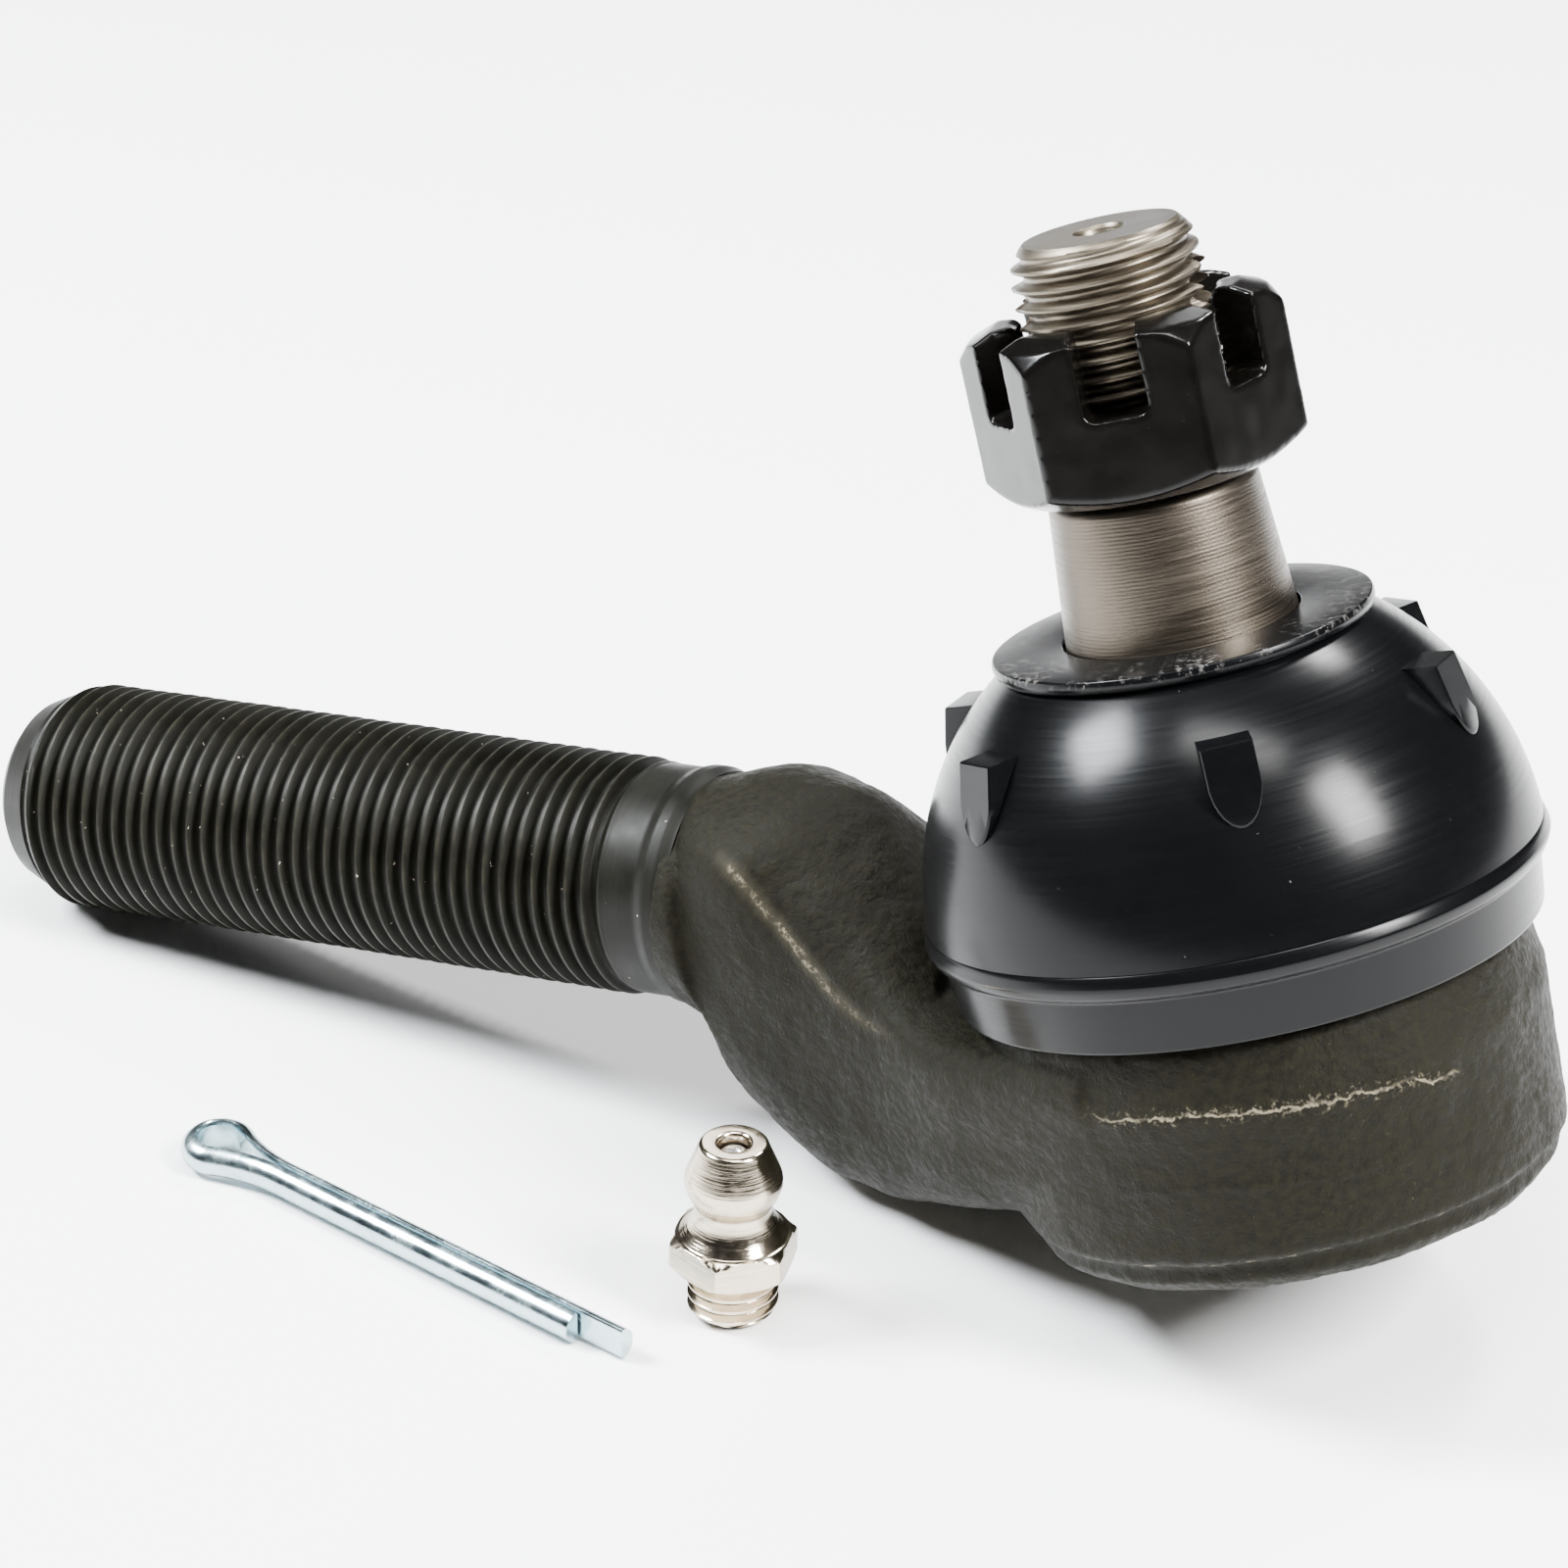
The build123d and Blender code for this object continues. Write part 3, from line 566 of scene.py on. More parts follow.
def make_socket_forging():
    piece = copy_of("housing", "socket_forging")
    cut_off_shank(piece)
    run_modifier(piece, "REMESH", mode="VOXEL", voxel_size=0.28 * MM)
    run_modifier(piece, "SMOOTH", factor=0.5, iterations=4)
    points = in_frame(piece, JOINT_FRAME)
    outside = smooth_step(np.hypot(points[:, 0], points[:, 1]), 17.2, 18.2)
    outside = np.maximum(outside, smooth_step(-points[:, 2], 15.0, 15.6))
    outside *= smooth_step(COLLAR_CUT - in_frame(piece, SHANK_FRAME)[:, 2], 0.5, 3.0)
    grain = 0.06 * fractal(points, 1.4) + 0.12 * fractal(points, 6.0, 2, 5.0)
    step, above, near = flash_scar(points)
    push(piece, (grain - 0.05) * outside + step)
    edge = distance_to_line(points, ARM_EDGE)
    # share of the painted ridge highlight: kept to the arm, fading out towards the drum
    wear_and_highlight = 1 - smooth_step(points[:, 0], -28.0, -21.0)
    keep_in_box(piece)
    mark(piece, "flash_height", above)
    mark(piece, "flash_share", near)
    mark(piece, "ridge_distance", np.minimum(edge, 5.0))
    mark(piece, "ridge_share", wear_and_highlight)
    mark(piece, "rim_height", np.clip(points[:, 2] - RIM_Z, -3.0, 3.0))
    shade(piece.data, 60)
    paint(piece, forged_steel())
    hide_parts("housing")
    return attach(piece, "socket")


def cut_off_shank(piece):
    """Keeps the forging and closes it where the turned collar starts."""
    work = bmesh.new()
    work.from_mesh(piece.data)
    bmesh.ops.remove_doubles(work, verts=work.verts, dist=1e-7)
    plane_point = SHANK_FRAME @ Vector((0, 0, COLLAR_CUT))
    normal = (SHANK_FRAME.to_3x3() @ Vector((0, 0, 1))).normalized()
    everything = work.verts[:] + work.edges[:] + work.faces[:]
    bmesh.ops.bisect_plane(work, geom=everything, plane_co=plane_point, plane_no=normal, clear_outer=True)
    bmesh.ops.holes_fill(work, edges=[e for e in work.edges if e.is_boundary])
    work.to_mesh(piece.data)
    work.free()


def flash_scar(points):
    """Torn line where the flash was trimmed from the drum: (outward push, height above it, its strength)."""
    azimuth = np.degrees(np.arctan2(points[:, 1], points[:, 0]))
    radial = np.hypot(points[:, 0], points[:, 1])
    round_drum = np.stack([azimuth * 0.33, azimuth * 0, azimuth * 0], axis=1)
    degrees_round, heights = zip(*FLASH_LINE)
    line_z = np.interp(azimuth, degrees_round, heights) + 0.35 * fractal(round_drum, 1.8, 4, 3.0)
    above = points[:, 2] - line_z
    near = smooth_step(azimuth, -104, -92) * (1 - smooth_step(azimuth, -30, -20))
    near *= smooth_step(radial, DRUM_R - 1.0, DRUM_R - 0.5)
    crest = 1 - smooth_step(np.abs(above), 0.05, 0.35)
    step = 0.22 * smooth_step(above, -3.5, -0.1) * (1 - smooth_step(above, -0.1, 0.12))
    faint = 0.10 * smooth_step(above, -5.6, -5.2) * (1 - smooth_step(above, -5.2, -4.9))
    return near * (step + faint + 0.06 * crest), np.clip(above, -5.0, 5.0), near


def keep_in_box(piece):
    """Keeps roughened surfaces inside the CAD model's box."""
    co = np.empty(len(piece.data.vertices) * 3)
    piece.data.vertices.foreach_get("co", co)
    inside = np.clip(co.reshape(-1, 3), np.array(cad_low), np.array(cad_high))
    piece.data.vertices.foreach_set("co", inside.ravel())
    piece.data.update()


def make_shank():
    """Turned collar and rolled thread; the thread runs out on the collar and is chamfered at its end."""

    def radius_at(angle, t, phase):
        cut = smooth_step(t, THREAD_START - 1.2, THREAD_START + 0.6)
        wear = 0.02 * np.sin(angle * 2 + t * 0.9)
        flare = 0.30 * (1 - smooth_step(np.abs(t - COLLAR_CUT + 0.2), 0.2, 1.4))
        rise = SHANK_MAJOR_R - COLLAR_R - thread_depth(phase) * SHANK_PITCH + wear
        thread = COLLAR_R + flare + cut * rise
        chamfer = np.interp(t, [THREAD_END, THREAD_END + 1.3, SHANK_END - 0.9, SHANK_END],
                            [SHANK_MAJOR_R, SHANK_MAJOR_R - 0.7, SHANK_MAJOR_R - 1.6, SHANK_END_FACE_R])
        return np.minimum(thread, chamfer)

    foot = COLLAR_CUT - 1.5
    points, faces = screw_surface(radius_at, foot, SHANK_END, SHANK_PITCH)
    caps = [[(4.0, foot), (0.0, foot)], [(5.2, SHANK_END), (4.0, SHANK_END - 0.25), (0.0, SHANK_END - 0.3)]]
    piece = object_from_screw("shank", points, faces, SHANK_FRAME, caps)
    local = in_frame(piece, SHANK_FRAME)
    radial = np.hypot(local[:, 0], local[:, 1])
    threaded = smooth_step(local[:, 2], THREAD_START - 1.0, THREAD_START)
    mark(piece, "crest", smooth_step(radial, SHANK_MAJOR_R - 0.25, SHANK_MAJOR_R - 0.02) * threaded)
    keep_in_box(piece)
    paint(piece, thread_steel())
    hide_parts("housing")
    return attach(piece, "socket")


# ---------------------------------------------------------------- ball stud
BALL_R = 10.3
TAPER_FOOT_R = 8.13
TAPER_FOOT_Z = 21.6
TAPER_TOP_R = 7.1
TAPER_TOP_Z = 34.0
STUD_MAJOR_R = 6.25
STUD_PITCH = 25.4 / 20
STUD_TIP_Z = 51.6
STUD_TIP_R = 5.2
CENTRE_HOLE_R = 1.55
CROSS_HOLE_R = 1.75
CROSS_HOLE_Z = 46.9
CROSS_HOLE_AZIMUTH = radians(21.0)


def make_stud():
    ball = [(BALL_R * sin(a), -BALL_R * cos(a)) for a in np.linspace(0, 2.5186, 60)]
    outline = ball + rounded([
        (6.0, 9.0), (6.0, 18.2), (TAPER_FOOT_R, TAPER_FOOT_Z), (TAPER_TOP_R, TAPER_TOP_Z), (6.7, 34.4),
        (5.4, 34.4), (5.4, 36.2), (0.0, 36.2),
    ], 0.25)
    body = lathe("stud_body", outline, JOINT_FRAME, 192)
    screw = make_stud_thread()
    piece = joined([body, screw], "ball_stud_turned")
    local = in_frame(piece, JOINT_FRAME)
    # painted shade where the nut and the boot's disc meet the stud
    under_nut_shade = smooth_step(local[:, 2], 32.2, 33.3) * (1 - smooth_step(local[:, 2], 34.6, 35.0))
    foot = 1 - smooth_step(local[:, 2], 24.8, 25.8)
    mark(piece, "painted_shade", np.clip(under_nut_shade + 0.6 * foot, 0, 1))
    paint(piece, turned_steel())
    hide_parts("ball_stud")
    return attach(piece, "stud")


def make_stud_thread():
    low = 35.4

    def radius_at(angle, z, phase):
        thread = STUD_MAJOR_R - thread_depth(phase) * STUD_PITCH
        outline = np.interp(z, [low, 35.9, 36.6, 50.3, 51.4, STUD_TIP_Z],
                            [5.38, 5.42, STUD_MAJOR_R, STUD_MAJOR_R, 5.42, STUD_TIP_R])
        return np.minimum(thread, outline) + burr(angle, z)

    points, faces = screw_surface(radius_at, low, STUD_TIP_Z, STUD_PITCH, steps=160)
    hole = [(CENTRE_HOLE_R + 0.25, STUD_TIP_Z), (CENTRE_HOLE_R, STUD_TIP_Z - 0.3),
            (CENTRE_HOLE_R, STUD_TIP_Z - 2.4), (0.0, STUD_TIP_Z - 3.1)]
    screw = object_from_screw("stud_thread", points, faces, JOINT_FRAME, [[(2.0, low), (0.0, low)], hole])
    cutter = make_cross_hole_cutter()
    run_modifier(screw, "BOOLEAN", operation="DIFFERENCE", object=cutter, solver="EXACT")
    bpy.data.objects.remove(cutter)
    shade(screw.data, 40)
    return screw


def burr(angle, z):
    """Torn metal standing round the cross hole's mouths."""
    rise = 0.0
    for mouth in (CROSS_HOLE_AZIMUTH, CROSS_HOLE_AZIMUTH + pi):
        turn = (angle - mouth + pi) % (2 * pi) - pi
        away = np.hypot(turn * STUD_MAJOR_R, z - CROSS_HOLE_Z)
        torn = 0.75 + 0.25 * np.sin(13 * np.arctan2(z - CROSS_HOLE_Z, turn * STUD_MAJOR_R) + 5 * turn)
        rise = rise + 0.28 * torn * (1 - smooth_step(np.abs(away - CROSS_HOLE_R - 0.1), 0.05, 0.45))
    return rise


def make_cross_hole_cutter():
    outline = [(0.0, -12.0), (CROSS_HOLE_R, -12.0), (CROSS_HOLE_R, 12.0), (0.0, 12.0)]
    across = Matrix.Rotation(CROSS_HOLE_AZIMUTH, 4, "Z") @ Matrix.Rotation(pi / 2, 4, "Y")
    place = JOINT_FRAME @ Matrix.Translation((0, 0, CROSS_HOLE_Z)) @ across
    return lathe("cross_hole", outline, place, 48)


def joined(objects, name):
    work = bmesh.new()
    for piece in objects:
        work.from_mesh(piece.data)
        bpy.data.objects.remove(piece)
    mesh = bpy.data.meshes.new(name)
    work.to_mesh(mesh)
    work.free()
    return add_object(name, mesh)


# ---------------------------------------------------------------- castle nut
NUT_LOW_Z = 34.9
NUT_BORE_R = 6.3


def make_nut():
    piece = copy_of("castle_nut", "castle_nut_black")
    weld(piece)
    run_modifier(piece, "REMESH", mode="VOXEL", voxel_size=0.13 * MM)
    run_modifier(piece, "SMOOTH", factor=0.5, iterations=16)
    cut_nut_thread(piece)
    points = in_frame(piece, JOINT_FRAME)
    push(piece, 0.015 * fractal(points, 4.0, 2, 4.0) - 0.01)
    shade(piece.data, 60)
    paint(piece, black_enamel())
    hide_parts("castle_nut")
    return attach(piece, "nut")


def cut_nut_thread(piece):
    """Presses a helical thread outwards into the wall of the bore."""
    local = in_frame(piece, JOINT_FRAME)
    radial = np.hypot(local[:, 0], local[:, 1])
    angle = np.arctan2(local[:, 1], local[:, 0])
    phase = (local[:, 2] - NUT_LOW_Z) / STUD_PITCH - angle / (2 * pi) + 0.5
    wall = 1 - smooth_step(radial, NUT_BORE_R + 0.1, NUT_BORE_R + 0.4)
    deeper = wall * thread_depth(phase) * STUD_PITCH * 0.8
    grown = np.maximum(radial, NUT_BORE_R * wall) + deeper
    local[:, :2] *= (grown / radial)[:, None]
    forward = np.array(JOINT_FRAME)
    moved = local @ forward[:3, :3].T + forward[:3, 3]
    piece.data.vertices.foreach_set("co", moved.ravel())
    piece.data.update()


def weld(piece):
    work = bmesh.new()
    work.from_mesh(piece.data)
    bmesh.ops.remove_doubles(work, verts=work.verts, dist=1e-7)
    work.to_mesh(piece.data)
    work.free()


# ---------------------------------------------------------------- rubber boot
DOME_R = 21.2
DOME_CENTRE_Z = 6.4
BOOT_WALL = 2.0
SPLIT_Z = 12.6                # the boot is made as two pieces that meet at this height
DISC_Z = 24.6
DISC_R = 13.05
DISC_WALL = 0.9
GRIP_R = 8.0
LUG_COUNT = 6
LUG_AZIMUTH = radians(-57.0)
LUG_HALF_WIDTH = 1.75
LUG_TOP_Z = 20.5
LUG_SHOULDER_Z = 17.9
LUG_LOW_Z = 15.2
LUG_TOP_R = 18.2
LUG_LOW_R = 19.4


def dome_arc(radius, low_z, high_z, spacing):
    """(radius, height) points up the dome between two heights."""
    low = asin((low_z - DOME_CENTRE_Z) / radius)
    high = asin((high_z - DOME_CENTRE_Z) / radius)
    steps = max(2, int(radius * (high - low) / spacing))
    return [(radius * cos(a), DOME_CENTRE_Z + radius * sin(a)) for a in np.linspace(low, high, steps + 1)]


def lug_outline():
    """(across, height) points of a lug's shield shape: flat top, straight sides, rounded chin."""
    side = [(LUG_HALF_WIDTH, z) for z in np.linspace(LUG_TOP_Z, LUG_SHOULDER_Z, 9)]
    chin = np.linspace(0, pi, 21)[1:-1]
    drop = LUG_SHOULDER_Z - LUG_LOW_Z
    side += [(LUG_HALF_WIDTH * cos(a), LUG_SHOULDER_Z - drop * sin(a) ** 1.2) for a in chin]
    side += [(-LUG_HALF_WIDTH, z) for z in np.linspace(LUG_SHOULDER_Z, LUG_TOP_Z, 9)]
    top = [(y, LUG_TOP_Z) for y in np.linspace(-LUG_HALF_WIDTH, LUG_HALF_WIDTH, 9)[1:-1]]
    return side + top


def make_lug(index):
    """Wedge on the dome: its face leans in towards the top, and its edges are slightly rounded."""
    outline = np.array(lug_outline())
    middle = np.array([0.0, (LUG_TOP_Z + LUG_SHOULDER_Z) / 2])
    rings = []
    for shrink, lift in ((1.0, None), (1.0, -0.14), (0.975, -0.05), (0.94, 0.0), (0.5, 0.0), (0.02, 0.0)):
        flat = middle + (outline - middle) * shrink
        height = flat[:, 1]
        face = np.interp(height, [LUG_LOW_Z, LUG_TOP_Z], [LUG_LOW_R, LUG_TOP_R])
        dome = np.sqrt(DOME_R ** 2 - (height - DOME_CENTRE_Z) ** 2)
        radius = dome - 0.6 if lift is None else np.maximum(face + lift, dome - 0.3)
        rings.append(np.stack([radius, flat[:, 0], height], axis=1))
    turn = LUG_AZIMUTH + 2 * pi * index / LUG_COUNT
    to_place = np.array([[cos(turn), sin(turn), 0], [-sin(turn), cos(turn), 0], [0, 0, 1]])
    points = np.concatenate(rings) @ to_place
    count = len(outline)
    faces = grid_faces(len(rings), count)
    faces += [tuple(range(count)), tuple(len(points) - 1 - i for i in range(count))]
    return mesh_object("lug", points, faces, JOINT_FRAME, 30)


def turned(name, outline, place, steps, shape):
    """Like lathe(), with the radius reshaped by shape(angle, radius)."""
    angles = np.linspace(0, 2 * pi, steps, endpoint=False)
    radii = np.array([r for r, z in outline])[:, None]
    heights = np.array([z for r, z in outline])[:, None] + np.zeros(steps)[None, :]
    radii = shape(angles[None, :], radii + np.zeros(steps)[None, :])
    points = np.stack([radii * np.cos(angles), radii * np.sin(angles), heights], axis=-1).reshape(-1, 3)
    return mesh_object(name, points, grid_faces(len(outline), steps, True), place)


def make_boot_lower():
    """Skirt, bead and lower dome."""
    inner_r = DOME_R - BOOT_WALL
    outline = rounded([
        (18.43, 1.45), (20.2, 1.45), (20.62, 5.25), (21.2, 5.6), (21.55, 6.35), (21.32, 7.05), (21.16, 7.3),
    ], 0.22)[:-1]
    outline += dome_arc(DOME_R, 7.3, SPLIT_Z, 0.4)
    outline += list(reversed(dome_arc(inner_r, 6.9, SPLIT_Z, 1.0)))
    outline += [(18.43, 5.1), (19.25, 5.03), (19.25, 2.07), (18.43, 2.07)]
    piece = lathe("boot_skirt", outline, JOINT_FRAME, 480, 24)
    mark(piece, "scuff", np.zeros(len(piece.data.vertices)))
    return piece


def make_boot_upper():
    """Upper dome with its lugs and the disc that seals on the stud."""
    inner_r = DOME_R - BOOT_WALL
    outline = dome_arc(DOME_R, SPLIT_Z, DISC_Z - DISC_WALL, 0.4)
    outline += rounded([
        (DISC_R - 0.15, DISC_Z - DISC_WALL + 0.02), (DISC_R, DISC_Z - 0.45), (DISC_R - 0.1, DISC_Z),
        (GRIP_R + 0.1, DISC_Z), (GRIP_R + 0.2, 23.53), (10.62, 23.53), (10.62, 21.77), (8.3, 21.77),
        (8.5, 20.9),
    ], 0.12)
    outline += list(reversed(dome_arc(inner_r, SPLIT_Z, 20.4, 1.0)))
    dome = lathe("dome", outline, JOINT_FRAME, 480, 24)
    piece = joined([dome] + [make_lug(i) for i in range(LUG_COUNT)], "boot_dome")
    local = in_frame(piece, JOINT_FRAME)
    radial = np.hypot(local[:, 0], local[:, 1])
    rim = smooth_step(radial, DISC_R - 1.6, DISC_R - 0.4)
    rim *= smooth_step(local[:, 2], DISC_Z - 0.6, DISC_Z - 0.2)
    rim *= smooth_step(fractal(local, 2.5, 3, 1.0), -0.25, 0.25)
    mark(piece, "scuff", rim)
    return piece


def make_boot():
    rubber = moulded_rubber()
    lower = make_boot_lower()
    upper = make_boot_upper()
    for piece in (lower, upper):
        paint(piece, rubber)
        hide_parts("boot")

    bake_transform(lower)
    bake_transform(upper)


# ---------------------------------------------------------------- cotter pin
PIN_R = 1.2
PIN_GAP = 0.1
PIN_SHORT_LEG = 27.8
PIN_LONG_LEG = 31.6
PIN_LOOP_R = 1.6
PIN_BEND_R = 13.0
PIN_TURN = radians(-8.4)


def pin_path():
    """Middle of the wire's flat side: long leg, round the eye, short leg."""
    bend_y = PIN_GAP + PIN_BEND_R
    reach = sqrt((PIN_BEND_R + PIN_LOOP_R) ** 2 - bend_y ** 2)
    tangent = atan2(bend_y, reach)
    points = [(x, PIN_GAP) for x in np.linspace(PIN_LONG_LEG, 0, 66)]
    bend = np.linspace(0, pi / 2 - tangent, 12)[1:]
    points += [(-PIN_BEND_R * sin(a), bend_y - PIN_BEND_R * cos(a)) for a in bend]
    for a in np.linspace(tangent, 2 * pi - tangent, 48)[1:-1]:
        points.append((-reach + PIN_LOOP_R * cos(a), PIN_LOOP_R * sin(a)))
    points += [(-PIN_BEND_R * sin(a), -bend_y + PIN_BEND_R * cos(a)) for a in reversed(bend)]
    points += [(x, -PIN_GAP) for x in np.linspace(0, PIN_SHORT_LEG, 60)]
    return np.array(points)


def half_round_section():
    """(outwards, up) points of the wire, its corners a little rounded."""
    corner = 0.16
    arc = np.linspace(-pi / 2 + 0.12, pi / 2 - 0.12, 18)
    points = [(PIN_R * cos(a), PIN_R * sin(a)) for a in arc]
    points += [(corner * 0.5, PIN_R - 0.07), (0.0, PIN_R - 0.3)]
    points += [(0.0, v) for v in np.linspace(0.7 * PIN_R, -0.7 * PIN_R, 5)]
    points += [(0.0, 0.3 - PIN_R), (corner * 0.5, 0.07 - PIN_R)]
    return points


def make_cotter_pin():
    path = pin_path()
    ahead = np.gradient(path, axis=0)
    ahead /= np.linalg.norm(ahead, axis=1)[:, None]
    outward = np.stack([ahead[:, 1], -ahead[:, 0]], axis=1)
    section = half_round_section()
    points = []
    for centre, side in zip(path, outward):
        for u, v in section:
            points.append((centre[0] + side[0] * u, centre[1] + side[1] * u, v))
    faces = grid_faces(len(path), len(section))
    count = len(section)
    faces += [tuple(range(count)), tuple(len(points) - 1 - i for i in range(count))]
    piece = mesh_object("cotter_pin_wire", points, faces, pin_frame(), 50)
    paint(piece, zinc_plate())
    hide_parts("cotter_pin")
    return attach(piece, "cotter_pin")


def pin_frame():
    """Millimetres in the pin's own frame to the row frame, set by the CAD pin's box."""
    low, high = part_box("cotter_pin")
    turn = Matrix.Rotation(PIN_TURN, 4, "Z") @ Matrix.Scale(MM, 4)
    far_corner = turn @ Vector((PIN_LONG_LEG, PIN_GAP + PIN_R, 0))
    near_corner = turn @ Vector((PIN_SHORT_LEG, -PIN_GAP - PIN_R, 0))
    return Matrix.Translation((high.x - far_corner.x, low.y - near_corner.y, low.z + PIN_R * MM)) @ turn


# ---------------------------------------------------------------- grease fitting
FITTING_MAJOR_R = 3.175
FITTING_PITCH = 25.4 / 28
FITTING_HALF_FLATS = 7.94 / 2
FITTING_CORNER_ANGLE = radians(-14.5)
FITTING_HEX_LOW = 3.85
FITTING_HEIGHT = 13.6
FITTING_BORE_R = 1.45


def hexagonal(angle, r):
    """Trims the radius by the hexagon's flats."""
    turn = (angle - FITTING_CORNER_ANGLE) % (pi / 3) - pi / 6
    return np.minimum(r, FITTING_HALF_FLATS / np.cos(turn))


def make_fitting():
    steps = 240
    outline = rounded([
        (2.875, FITTING_HEX_LOW - 0.6), (2.875, FITTING_HEX_LOW), (4.085, FITTING_HEX_LOW), (4.585, 4.2),
        (4.585, 5.85), (3.95, 6.3), (3.75, 6.35), (3.15, 7.05), (2.85, 7.65), (2.68, 8.25), (2.66, 8.7),
        (2.85, 9.05), (3.15, 9.6), (3.36, 10.25), (3.39, 10.8), (3.28, 11.2), (2.38, 13.45),
        (2.2, FITTING_HEIGHT), (1.25, FITTING_HEIGHT), (1.08, 13.4), (1.08, 12.9),
        (FITTING_BORE_R, 12.1), (FITTING_BORE_R, FITTING_HEX_LOW - 0.6),
    ], 0.16)
    upper = turned("fitting_upper", outline, FITTING_FRAME, steps, hexagonal)
    thread_top = FITTING_HEX_LOW - 0.3

    def radius_at(angle, z, phase):
        thread = FITTING_MAJOR_R - thread_depth(phase) * FITTING_PITCH
        outline = np.interp(z, [0.0, 0.45, 3.0, thread_top], [2.55, FITTING_MAJOR_R, FITTING_MAJOR_R, 2.6])
        return np.minimum(thread, outline)

    points, faces = screw_surface(radius_at, 0.0, thread_top, FITTING_PITCH)
    passage = [(FITTING_BORE_R, thread_top), (FITTING_BORE_R, 1.0), (0.8, 1.0), (0.8, 0.0), (2.55, 0.0)]
    foot = object_from_screw("fitting_foot", points, faces, FITTING_FRAME, [passage])
    piece = joined([upper, foot], "grease_fitting_body")
    paint(piece, nickel_plate())
    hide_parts("grease_fitting")
    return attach(piece, "grease_fitting")


# ---------------------------------------------------------------- parts carried over from the CAD model

def dress_cad_parts():
    plastic = bearing_plastic()
    finishes = {
        "upper_shell": (plastic, "bearing"),
        "lower_shell": (plastic, "bearing"),
        "pressure_seat": (oiled_steel("sintered_steel", (0.22, 0.20, 0.18), 0.5), "sintered_steel"),
        "cover_plate": (oiled_steel("pressed_steel", (0.06, 0.057, 0.05), 0.45), "forged_steel"),
        "boot_clamp_ring": (oiled_steel("ring_steel", (0.32, 0.32, 0.32), 0.35), "spring_steel"),
        "boot_top_ring": (oiled_steel("top_ring_steel", (0.32, 0.32, 0.32), 0.35), "spring_steel"),
        "check_ball": (oiled_steel("ball_steel", (0.65, 0.62, 0.58), 0.2), "nickel"),
    }
    for node, (material, slot_name) in finishes.items():
        paint(frame["nodes"][node], material)


def make_spring(node, place, material):
    """Copies a spring from the CAD model and paints it."""
    piece = copy_of(node, node + "_piece")
    heights = in_frame(piece, place)[:, 2]
    paint(piece, material)
    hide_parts(node)
    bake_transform(piece)


def make_springs():
    disc_steel = oiled_steel("spring_steel", (0.16, 0.17, 0.19), 0.35)
    make_spring("disc_spring", JOINT_FRAME, disc_steel)
    wire_steel = oiled_steel("wire_steel", (0.45, 0.44, 0.42), 0.3)
    make_spring("check_spring", FITTING_FRAME, wire_steel)


# ---------------------------------------------------------------- floor, light and camera

LIGHT_AIM = Vector((0.03, 0.0, 0.03))
CAMERA_TARGET = Vector((0.00920, -0.00396, 0.03345))
CAMERA_DISTANCE = 0.335
CAMERA_AZIMUTH = radians(30.12)
CAMERA_ELEVATION = radians(29.29)
CAMERA_ROLL = radians(-0.79)
LENS_MM = 112.43
SENSOR_MM = 36.0
FLOOR_GAP = 0.0002            # keeps the floor just below the pieces that rest on it


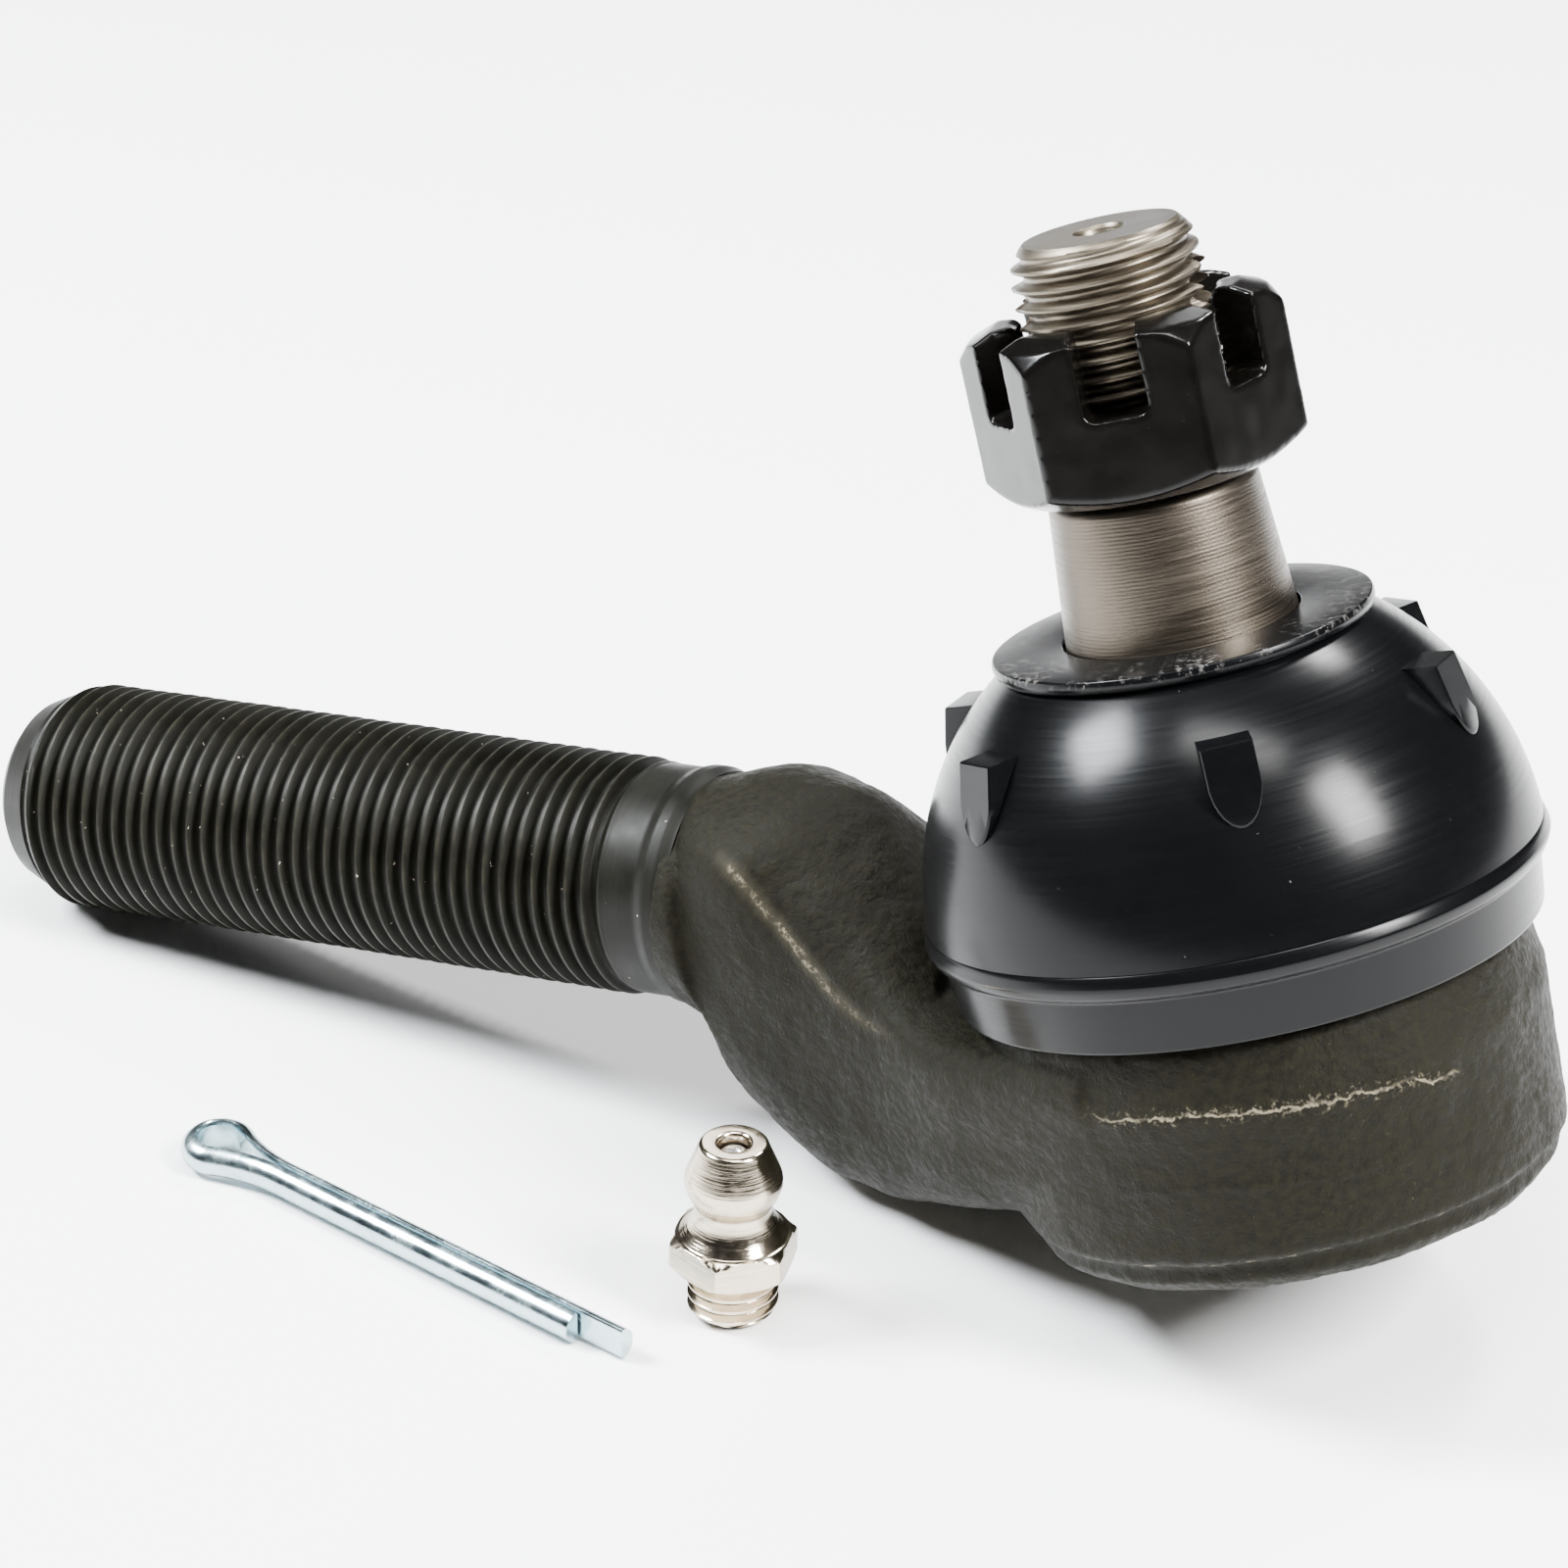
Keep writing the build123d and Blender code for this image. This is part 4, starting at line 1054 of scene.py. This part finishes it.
def make_stage():
    bpy.ops.mesh.primitive_plane_add(size=4.0, location=(0, 0, -FLOOR_GAP))
    floor = bpy.context.object
    floor.name = "floor"
    s = Shader("floor_white", Roughness=0.7)
    base = s.mix(s.noise(200.0, 1.0), (0.86, 0.86, 0.86, 1), (0.88, 0.88, 0.88, 1))
    floor.data.materials.append(s.finish(base))
    world = bpy.data.worlds.new("studio")
    world.use_nodes = True
    world.node_tree.nodes["Background"].inputs["Color"].default_value = (0.95, 0.97, 1.0, 1)
    world.node_tree.nodes["Background"].inputs["Strength"].default_value = 0.05
    bpy.context.scene.world = world


def direction(azimuth, elevation):
    """Unit vector towards a place round the object; azimuth 0 is straight in front."""
    return Vector((sin(azimuth) * cos(elevation), -cos(azimuth) * cos(elevation), sin(elevation)))


def soft_box(name, azimuth, elevation, distance, width, height, watts, color=(1, 1, 1)):
    """Rectangular light aimed at the object; an azimuth of 90 degrees is to the right."""
    back = direction(radians(azimuth), radians(elevation))
    light = bpy.data.lights.new(name, "AREA")
    light.shape = "RECTANGLE"
    light.size, light.size_y = width, height
    light.energy = watts
    light.color = color
    lamp = bpy.data.objects.new(name, light)
    lamp.location = LIGHT_AIM + back * distance
    lamp.rotation_euler = back.to_track_quat("Z", "Y").to_euler()
    bpy.context.scene.collection.objects.link(lamp)


def make_lights():
    soft_box("left_box", -68, 45, 0.60, 0.20, 0.17, 18.0, (0.93, 0.97, 1.0))
    soft_box("right_box", 85, 45, 0.60, 0.14, 0.24, 18.0)
    soft_box("back_box", 178, 50, 0.80, 0.16, 0.12, 8.0)
    soft_box("far_box", -150, 30, 0.90, 0.45, 0.25, 2.2)
    soft_box("front_box", 10, 78, 1.00, 0.60, 0.20, 14.0)


def make_camera():
    """Long lens looking down at the set from the front right."""
    back = direction(CAMERA_AZIMUTH, CAMERA_ELEVATION)
    data = bpy.data.cameras.new("camera")
    data.lens = LENS_MM
    data.sensor_width = SENSOR_MM
    data.clip_start = 0.01
    camera = bpy.data.objects.new("camera", data)
    camera.location = CAMERA_TARGET + CAMERA_DISTANCE * back
    turn = (-back).to_track_quat("-Z", "Y").to_matrix() @ Matrix.Rotation(-CAMERA_ROLL, 3, "Z")
    camera.rotation_euler = turn.to_euler()
    bpy.context.scene.collection.objects.link(camera)
    bpy.context.scene.camera = camera


# ---------------------------------------------------------------- build

make_socket_forging()
make_shank()
make_stud()
make_nut()
make_boot()
make_cotter_pin()
make_fitting()
dress_cad_parts()
make_springs()
make_stage()
make_lights()
make_camera()
